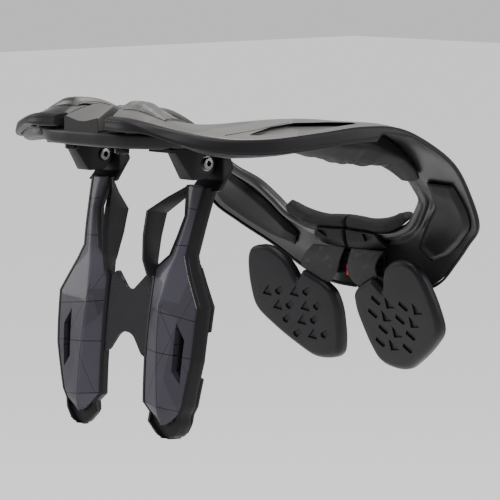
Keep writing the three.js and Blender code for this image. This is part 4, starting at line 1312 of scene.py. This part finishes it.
def wingBracket():
    top = table["top"] - table["thickness"] - ring["gap"] - bracket["plateThickness"]
    front, long, deep = pivot["front"], bracket["length"], bracket["depth"]
    corners = [(front, top), (front - long, top), (front - long * 0.6, top - deep), (front - 8, top - deep),
               (front, top - deep * 0.66)]
    block = plateFromSide(corners, pivot["innerX"], pivot["outerX"], 1.2)
    middle = pivot["middleX"]
    gap = pivot["clevis"] / 2 + ring["gap"]
    centre, outer = (pivot["y"], pivot["z"]), pivot["outerX"]
    low, high = (pivot["y"] - 11, top - deep - 1), (front + 10, top - 1.5)
    slot = blockBetween((middle - gap, *low), (middle + gap, *high))
    seat = disc(bracket["seatRadius"], outer - bracket["seatDepth"], outer + 3, centre, 36, "x")
    hole = disc(bracket["holeRadius"], pivot["innerX"] - 1, outer + 1, centre, 24, "x")
    block = subtract(block, slot, seat, hole)
    start, run = front - bracket["taperFrom"], long - bracket["taperFrom"]
    bendRows(block, Vector((0, 1, 0)), [start - k * run / 8 for k in range(8)])
    for vert in block.verts:
        rear = max(0, min(1, (start - vert.co.y) / run))
        vert.co.x = middle + (vert.co.x - middle) * (1 - bracket["taper"] * rear)
    half = bracket["plateWidth"] / 2
    plate = blockBetween((middle - half, front - bracket["plateLength"], top - 0.4),
                         (middle + half, front + 2, top + bracket["plateThickness"]))
    return joinMeshes(block, plate)


makePair(wingBracket, "wing_bracket", "shell", sharp=24)


bolt = {
    "radius": 2.6, "headRadius": 4.6, "headHeight": 2.9, "socket": 2.3, "washerRadius": 5.6, "washer": 0.5,
}


def wingBolt():
    start = pivot["outerX"] - 0.6
    top = start + bolt["headHeight"]
    centre = (pivot["y"], pivot["z"])
    head = disc(bolt["headRadius"], start, top, centre, 40, "x")
    bevelWhere(head, lambda edge: min(vert.co.x for vert in edge.verts) > top - 0.1, 0.7, 3)
    head = subtract(head, disc(bolt["socket"], start + 1, start + 4, centre, 6, "x"))
    washer = disc(bolt["washerRadius"], start - 0.1, start + bolt["washer"], centre, 40, "x")
    return joinMeshes(disc(bolt["radius"], pivot["innerX"], start + 1, centre, 32, "x"), washer, head)


for boltName, shift in (("wing_bolt_right", 0), ("wing_bolt_left", -2 * pivot["middleX"])):  # heads face +X
    boltBody = wingBolt()
    bmesh.ops.translate(boltBody, vec=(shift, 0, 0), verts=boltBody.verts)
    finishPiece(boltBody, boltName, "steel", sharp=28)
print("fittings ready")


# floor, backdrop and soft light
studio = {
    "floor": -0.9, "reach": 14, "world": 0.7, "glow": 0.3,
    "lights": [  # name, place, size and power
        ("key", (0.9, -1.3, 1.5), (1.0, 0.6), 46), ("fill", (-1.6, -0.9, 0.5), (0.6, 1.2), 20),
        ("top", (0, 0.4, 1.8), (1.0, 0.8), 45), ("edge", (1.5, 1.2, 0.5), (0.5, 1.2), 26),
    ],
}


def makeStudio():
    bm = bmesh.new()
    bmesh.ops.create_grid(bm, x_segments=1, y_segments=1, size=studio["reach"])
    bmesh.ops.translate(bm, vec=(0, 0, studio["floor"]), verts=bm.verts)
    floor = linkMesh(bm, "floor")
    paper = Shader("paper", 0.9, shine=0)
    paper.put("Base Color", paper.blend(paper.speckle(2), (0.96, 0.96, 0.96, 1), (0.97, 0.97, 0.97, 1)))
    paper.surface.inputs["Emission Color"].default_value = (1, 1, 1, 1)
    paper.surface.inputs["Emission Strength"].default_value = studio["glow"]
    floor.data.materials.append(paper.material)
    world = bpy.data.worlds.new("studio")
    world.use_nodes = True
    world.node_tree.nodes["Background"].inputs["Color"].default_value = (1, 1, 1, 1)
    world.node_tree.nodes["Background"].inputs["Strength"].default_value = studio["world"]
    bpy.context.scene.world = world


def makeLight(name, place, size, power):
    data = bpy.data.lights.new(name, "AREA")
    data.shape = "RECTANGLE"
    data.size, data.size_y = size
    data.energy = power
    light = bpy.data.objects.new(name, data)
    light.location = place
    light.rotation_euler = (photoView["target"] - Vector(place)).to_track_quat("-Z", "Y").to_euler()
    bpy.context.collection.objects.link(light)


makeStudio()
for lamp in studio["lights"]:
    makeLight(*lamp)
print("studio ready")
